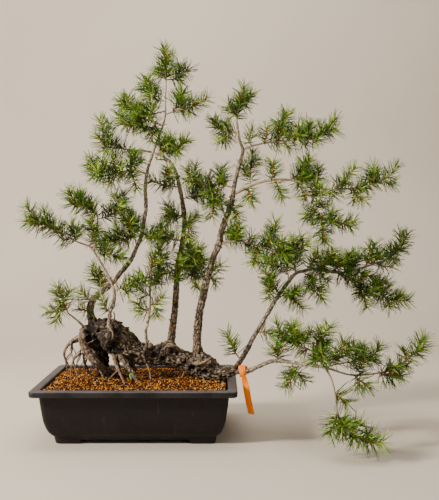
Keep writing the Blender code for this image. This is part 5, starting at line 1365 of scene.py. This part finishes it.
def grit_tree():
    """Angular granules of a few shapes, scattered over the soil's top."""
    net = Growth("granules", {"Spacing": GRAIN_SPACING, "Radius": GRAIN_SIZE, "Seed": 2, "Finish": None})
    given = net.given
    facing = net.node("GeometryNodeInputNormal").part(2)
    top = net.node("FunctionNodeCompare", {"operation": "GREATER_THAN"}, {0: facing, 1: 0.6})
    spots = net.node("GeometryNodeDistributePointsOnFaces", {"distribute_method": "POISSON"}, {
        "Mesh": given["Geometry"], "Selection": top, "Distance Min": given["Spacing"],
        "Density Max": GRAIN_CROWD, "Seed": given["Seed"]})
    ball = net.node("GeometryNodeMeshIcoSphere", {}, {"Radius": given["Radius"], "Subdivisions": 1})
    place = net.node("GeometryNodeInputPosition")
    kinds = []
    for number in range(GRAIN_KINDS):
        push = net.noise(place + float(number * 3), 420.0, 1.0, out=1)
        chipped = net.on("SetPosition", ball, Offset=(push - 0.5) * (given["Radius"] * 1.5))
        kinds.append(net.node("GeometryNodeGeometryToInstance", {}, {0: chipped}))
    rolled = net.node("FunctionNodeRandomValue", {"data_type": "FLOAT_VECTOR"}, {
        0: (0.0, 0.0, 0.0), 1: (math.tau,) * 3, "Seed": given["Seed"] + 4.0})
    size = net.chance(0.62, 1.25, 5)
    grains = net.node("GeometryNodeInstanceOnPoints", {}, {
        "Points": spots, "Instance": net.join(kinds), "Pick Instance": True, "Rotation": rolled,
        "Scale": net.vector(size * net.chance(0.8, 1.25, 6), size, size * net.chance(0.7, 1.1, 7))})
    grains = net.stored(grains, "tone", net.chance(0.0, 1.0, 8), "INSTANCE")
    both = net.join([given["Geometry"], net.on("RealizeInstances", grains)])
    return net.finish(net.on("SetMaterial", both, Material=given["Finish"]))


def grit_finish():
    net = Finish("baked clay granules", 0.9, Specular_IOR_Level=0.25)
    dusty = net.noise(net.place, 900.0, 3.0, 0.6)
    tones = net.node("ShaderNodeValToRGB", {"stops": [
        (0.0, "100702"), (1.0, "f0dcb8"), (0.2, "241104"), (0.4, "4a2204"), (0.6, "9c5208"),
        (0.82, "e69222"), (0.965, "e0a452"), (0.985, "e2ba84")]}, {0: net.attribute("tone")})
    net.set("Base Color", net.mix(net.step(dusty, 0.3, 0.75) * 0.4, tones, "4a2609"))
    net.relief(dusty, 0.4 * MM, 0.8)
    return net.material


def make_soil():
    random = np.random.default_rng(SEED + 2)
    rings = [rounded_ring(inset * MM, height * MM) for inset, height in SOIL_WALL]
    for step in range(SOIL_RINGS):
        share = (step + 1) / SOIL_RINGS
        ring = rounded_ring((SOIL_INSET + share ** 0.92 * SOIL_REACH) * MM,
                            SOIL_TOP - SOIL_EDGE + SOIL_DOME * math.sin(share * math.pi / 2))
        rings.append([point + Vector((0, 0, random.uniform(-SOIL_ROUGHNESS, SOIL_ROUGHNESS) * MM))
                      for point in ring])
    bed = placed("soil_granules", loft(rings))
    # the bed gets painted shade: near black between the granules
    mark(bed.data, "tone", np.full(len(bed.data.vertices), BED_SHADE_TONE))
    kept(grown(bed, grit_tree(), {"Finish": grit_finish()}), "grit", "soil")


def tag_finish():
    net = Finish("orange flagging tape", 0.5, Specular_IOR_Level=0.12,
                 Emission_Color=linear("ff8000"), Emission_Strength=0.16)   # painted glow, standing in for the light that shines through the tape
    folds = net.noise(net.place * net.vector(3.0, 3.0, 0.7), 60.0, 3.0)
    scuffs = net.noise(net.place, 700.0, 3.0, 0.7)
    net.set("Base Color", net.coats(
        net.mix(net.step(folds, 0.35, 0.65), "f87200", "fc9a00"),
        (net.step(scuffs, 0.6, 0.75) * 0.2, "ffb050")))
    net.set("Roughness", net.step(folds, 0.3, 0.7, 0.45, 0.6))
    net.relief(folds, 0.6 * MM, 0.5)
    return net.material


TAG_WIDTH = 14.0 * MM
TAG_THICKNESS = 0.5 * MM
TAG_BOWS = (0.3 * MM, 0.8 * MM)     # across the turns and the hanging end
TAG_OVERLAP = (-0.4, math.tau + 0.2)    # angles at which a turn starts and ends
TAG_PLACE = (243.2, 370.6)
# Each turn round the branch: how far off its bark, how far down and along, in mm
TAG_TURNS = ((1.0, 0.4, 1.5), (2.4, 2.0, -2.0))
TAG_ROUTE = [(243.6, 375.6, -44), (244.6, 380, -47), (246.1, 387, -49), (248.4, 400, -51), (251.4, 414, -50)]


def add_strip(shape, places, across, bow):
    """Adds a closed thin strip of tape along the places, bowed across its width."""
    last = len(places) - 1
    columns = 7
    rows = []
    for i, (place, width) in enumerate(zip(places, across)):
        out = unit(np.cross(places[min(i + 1, last)] - places[max(i - 1, 0)], width))
        skin = []
        for layer in (-0.5, 0.5):
            for column in range(columns):
                share = column / (columns - 1) - 0.5
                lift = bow * (1 - 4 * share ** 2) + layer * TAG_THICKNESS
                skin.append(shape.verts.new(place + width * share + out * lift))
        rows.append(skin[:columns] + skin[:columns - 1:-1])
    add_quads(shape, rows)
    for row in (rows[0], rows[-1]):
        for i in range(columns - 1):
            shape.faces.new((row[i], row[i + 1], row[2 * columns - 2 - i], row[2 * columns - 1 - i]))


def make_tag(routes):
    """A tape tied round the low branch: two turns that cross, and the hanging end."""
    trace, places, radii = routes["low_branch"]
    branch = seen(*TAG_PLACE, nearest_on(trace, *TAG_PLACE)[1])
    run = unit(places[1] - places[0])
    level = unit(np.array((-run[1], run[0], 0.0)))
    up = np.cross(run, level)
    up *= np.sign(up[2])
    shape = bmesh.new()
    thick = radii[0] + (radii[1] - radii[0]) * 0.6
    turns = np.linspace(*TAG_OVERLAP, 34)
    for turn, (clear, drop, shift) in enumerate(TAG_TURNS):
        middle = branch - up * drop * MM + run * shift * MM
        ring = [middle + (thick + clear * MM) * (level * math.cos(a)
                                                 + up * math.sin(a) * (1.3 if math.sin(a) < 0 else 1.55))
                + run * 0.9 * MM * math.sin(2 * a + turn) for a in turns]
        add_strip(shape, ring, [run * TAG_WIDTH * (0.72 + 0.1 * math.sin(3 * a + turn)) for a in turns],
                  TAG_BOWS[0])
    path = smooth_line([seen(*row) for row in TAG_ROUTE], 3.0 * MM)
    share = np.linspace(0, 1, len(path))
    widths = TAG_WIDTH * np.interp(share, (0.0, 0.12, 0.3, 1.0), (0.7, 0.85, 1.0, 1.0))
    twist = np.interp(share, (0.0, 0.25, 1.0), (0.5, -0.3, -0.5))
    across = [w * np.array((math.cos(t), math.sin(t), 0.0)) for w, t in zip(widths, twist)]
    add_strip(shape, path, across, TAG_BOWS[1])
    bmesh.ops.recalc_face_normals(shape, faces=shape.faces)
    tag = placed("orange_tag", shape, tag_finish())
    soften(tag, 50)
    kept(tag, "tag_plastic", "tag")


def leaf_finish():
    net = Finish("weed leaf", 0.45, Specular_IOR_Level=0.45)
    blotch = net.noise(net.place, 300.0, 2.0)
    net.set("Base Color", net.coats(
        net.mix(net.step(blotch, 0.3, 0.7), "5a9a22", "8cc632"),
        (net.attribute("rib") * 0.5, "c3dc74")))
    return net.material


def add_leaf(shape, rib, foot, out, length, width):
    """Adds a closed pointed leaf, folded along its rib and arched."""
    out = unit(out)
    side = unit(np.cross(out, UP))
    up = np.cross(side, out)
    count = 8
    rows = []
    for i in range(count + 1):
        share = i / count
        half = width * 0.5 * math.sin(math.pi * (0.08 + 0.9 * share)) ** 0.8
        middle = foot + out * length * share + up * length * 0.28 * math.sin(share * 2.2)
        row = []
        for column, lift in ((-1, 0.25), (-0.5, 0.10), (0, 0.0), (0.5, 0.10), (1, 0.25)):
            row.append(shape.verts.new(middle + side * half * column + up * (half * lift)))
            row[-1][rib] = 1.0 - abs(column) * 2 if abs(column) < 0.5 else 0.0
        for column, lift in ((0.5, 0.10), (0, 0.0), (-0.5, 0.10)):
            row.append(shape.verts.new(middle + side * half * column + up * (half * lift)
                                       - up * LEAF_THICKNESS))
        rows.append(row)
    add_quads(shape, rows)
    for row in (rows[0], rows[-1]):
        shape.faces.new(row)


def make_weed(finish):
    random = np.random.default_rng(SEED + 3)
    shape = bmesh.new()
    rib = shape.verts.layers.float.new("rib")
    for number, spot in enumerate(WEED_PLACES):
        foot = seen(*spot, depth_on_soil(*spot))
        top = foot + np.array((0.8 * MM, 0.0, (11 - 5 * number) * MM))
        stalk = np.array([foot - 4 * MM * UP, foot, (foot + top) / 2, top])
        add_tube(shape, stalk, np.full(len(stalk), STALK_RADIUS), 8)
        for leaf in range(6 - 2 * number):
            angle = GOLDEN_ANGLE * leaf + number
            out = np.array((math.cos(angle), math.sin(angle), random.uniform(0.35, 1.1)))
            add_leaf(shape, rib, top - (leaf * 1.3) * MM * UP, out,
                     random.uniform(*LEAF_LENGTH) * MM, LEAF_WIDTH)
    bmesh.ops.recalc_face_normals(shape, faces=shape.faces)
    weed = placed("weed_seedlings", shape, finish)
    weed.data.shade_smooth()
    kept(weed, "weed", "weed")


def make_moss(finish):
    """Specks of moss on the granules: tufts of tiny blades."""
    random = np.random.default_rng(SEED + 4)
    shape = bmesh.new()
    shape.verts.layers.float.new("rib")
    for spot in MOSS_PLACES:
        middle = seen(*spot, depth_on_soil(*spot))
        for _ in range(BLADES):
            beside = np.array((*random.normal(0, 2.6 * MM, 2), 0.0))
            foot = middle + beside + random.uniform(0.0, 1.2) * MM * UP
            top = foot + unit(random.normal(0, 0.5, 3) + UP) * random.uniform(1.6, 3.4) * MM
            add_tube(shape, np.array([foot, (foot + top) / 2, top]), BLADE_RADII, 4)
    moss = placed("moss_specks", shape, finish)
    moss.data.shade_smooth()
    kept(moss, "weed")


FLOOR_FRONT = -6.0
FLOOR_BACK = 1.9
FLOOR_BEND = 0.8            # radius of the sweep
FLOOR_TOP = 5.0
FLOOR_HALF = 5.0            # of its width
FLOOR_CLEAR = 0.4 * MM      # below the pot's feet

# Lights: name, place, aim, size, power and colour
LIGHTS = [
    ("window_light", (-2.4, -1.1, 1.6), (0.0, 0.0, 0.35), 0.45, 158, (1.0, 0.94, 0.85)),
    ("front_fill", (1.6, -2.4, 1.2), (0.0, 0.0, 0.4), 2.2, 7, (0.93, 0.96, 1.0)),
    ("top_light", (-0.3, 0.3, 2.3), (0.0, 0.0, 0.3), 1.4, 22, (1.0, 0.97, 0.93)),
    ("back_wash", (0.0, 0.4, 2.6), (0.0, 1.9, 0.6), 1.8, 26, (1.0, 0.96, 0.9)),
]
SKY_COLOUR = (0.80, 0.78, 0.76, 1.0)
SKY_STRENGTH = 0.27


def make_stage():
    """A plain pale floor that sweeps up behind."""
    finish = Finish("pale floor", 0.8)
    cloudy = finish.step(finish.noise(finish.place, 1.2, 2.0), 0.3, 0.7)
    finish.set("Base Color", finish.mix(cloudy, "c9bcab", "cfc3b3"))
    shape = bmesh.new()
    bend_start = FLOOR_BACK - FLOOR_BEND
    turns = np.linspace(0, math.pi / 2, 13)[1:]
    profile = [(FLOOR_FRONT, 0.0), (bend_start, 0.0)]
    profile += [(bend_start + FLOOR_BEND * math.sin(a), FLOOR_BEND - FLOOR_BEND * math.cos(a)) for a in turns]
    profile.append((FLOOR_BACK, FLOOR_TOP))
    rows = [[shape.verts.new((x, y, z - FLOOR_CLEAR)) for x in (-FLOOR_HALF, FLOOR_HALF)] for y, z in profile]
    for lower, upper in zip(rows[:-1], rows[1:]):
        shape.faces.new((lower[0], lower[1], upper[1], upper[0]))
    floor = placed("floor", shape, finish.material)
    floor.data.shade_smooth()


def add_light(name, place, target, size, power, colour):
    light = bpy.data.lights.new(name, "AREA")
    light.size = size
    light.energy = power
    light.color = colour
    item = placed(name, light)
    item.location = place
    item.rotation_euler = (Vector(target) - Vector(place)).to_track_quat("-Z", "Y").to_euler()


def make_lights():
    for row in LIGHTS:
        add_light(*row)
    world = bpy.data.worlds.new("studio")
    world.use_nodes = True
    sky = world.node_tree.nodes["Background"].inputs
    sky["Color"].default_value = SKY_COLOUR
    sky["Strength"].default_value = SKY_STRENGTH
    bpy.context.scene.world = world


def make_camera():
    camera = bpy.data.cameras.new("camera")
    camera.sensor_width = SENSOR
    camera.lens = SENSOR * EYE_FOCAL / PICTURE_HEIGHT
    item = placed("camera", camera)
    item.location = EYE
    item.rotation_euler = (math.pi / 2 - EYE_PITCH, 0.0, 0.0)
    bpy.context.scene.camera = item


make_camera()
make_lights()
make_stage()
ROUTES = wood_routes()
make_pot()
make_soil()
make_wood(ROUTES, bark_finish())
make_foliage(ROUTES)
make_tag(ROUTES)
GREEN = leaf_finish()
make_weed(GREEN)
make_moss(GREEN)
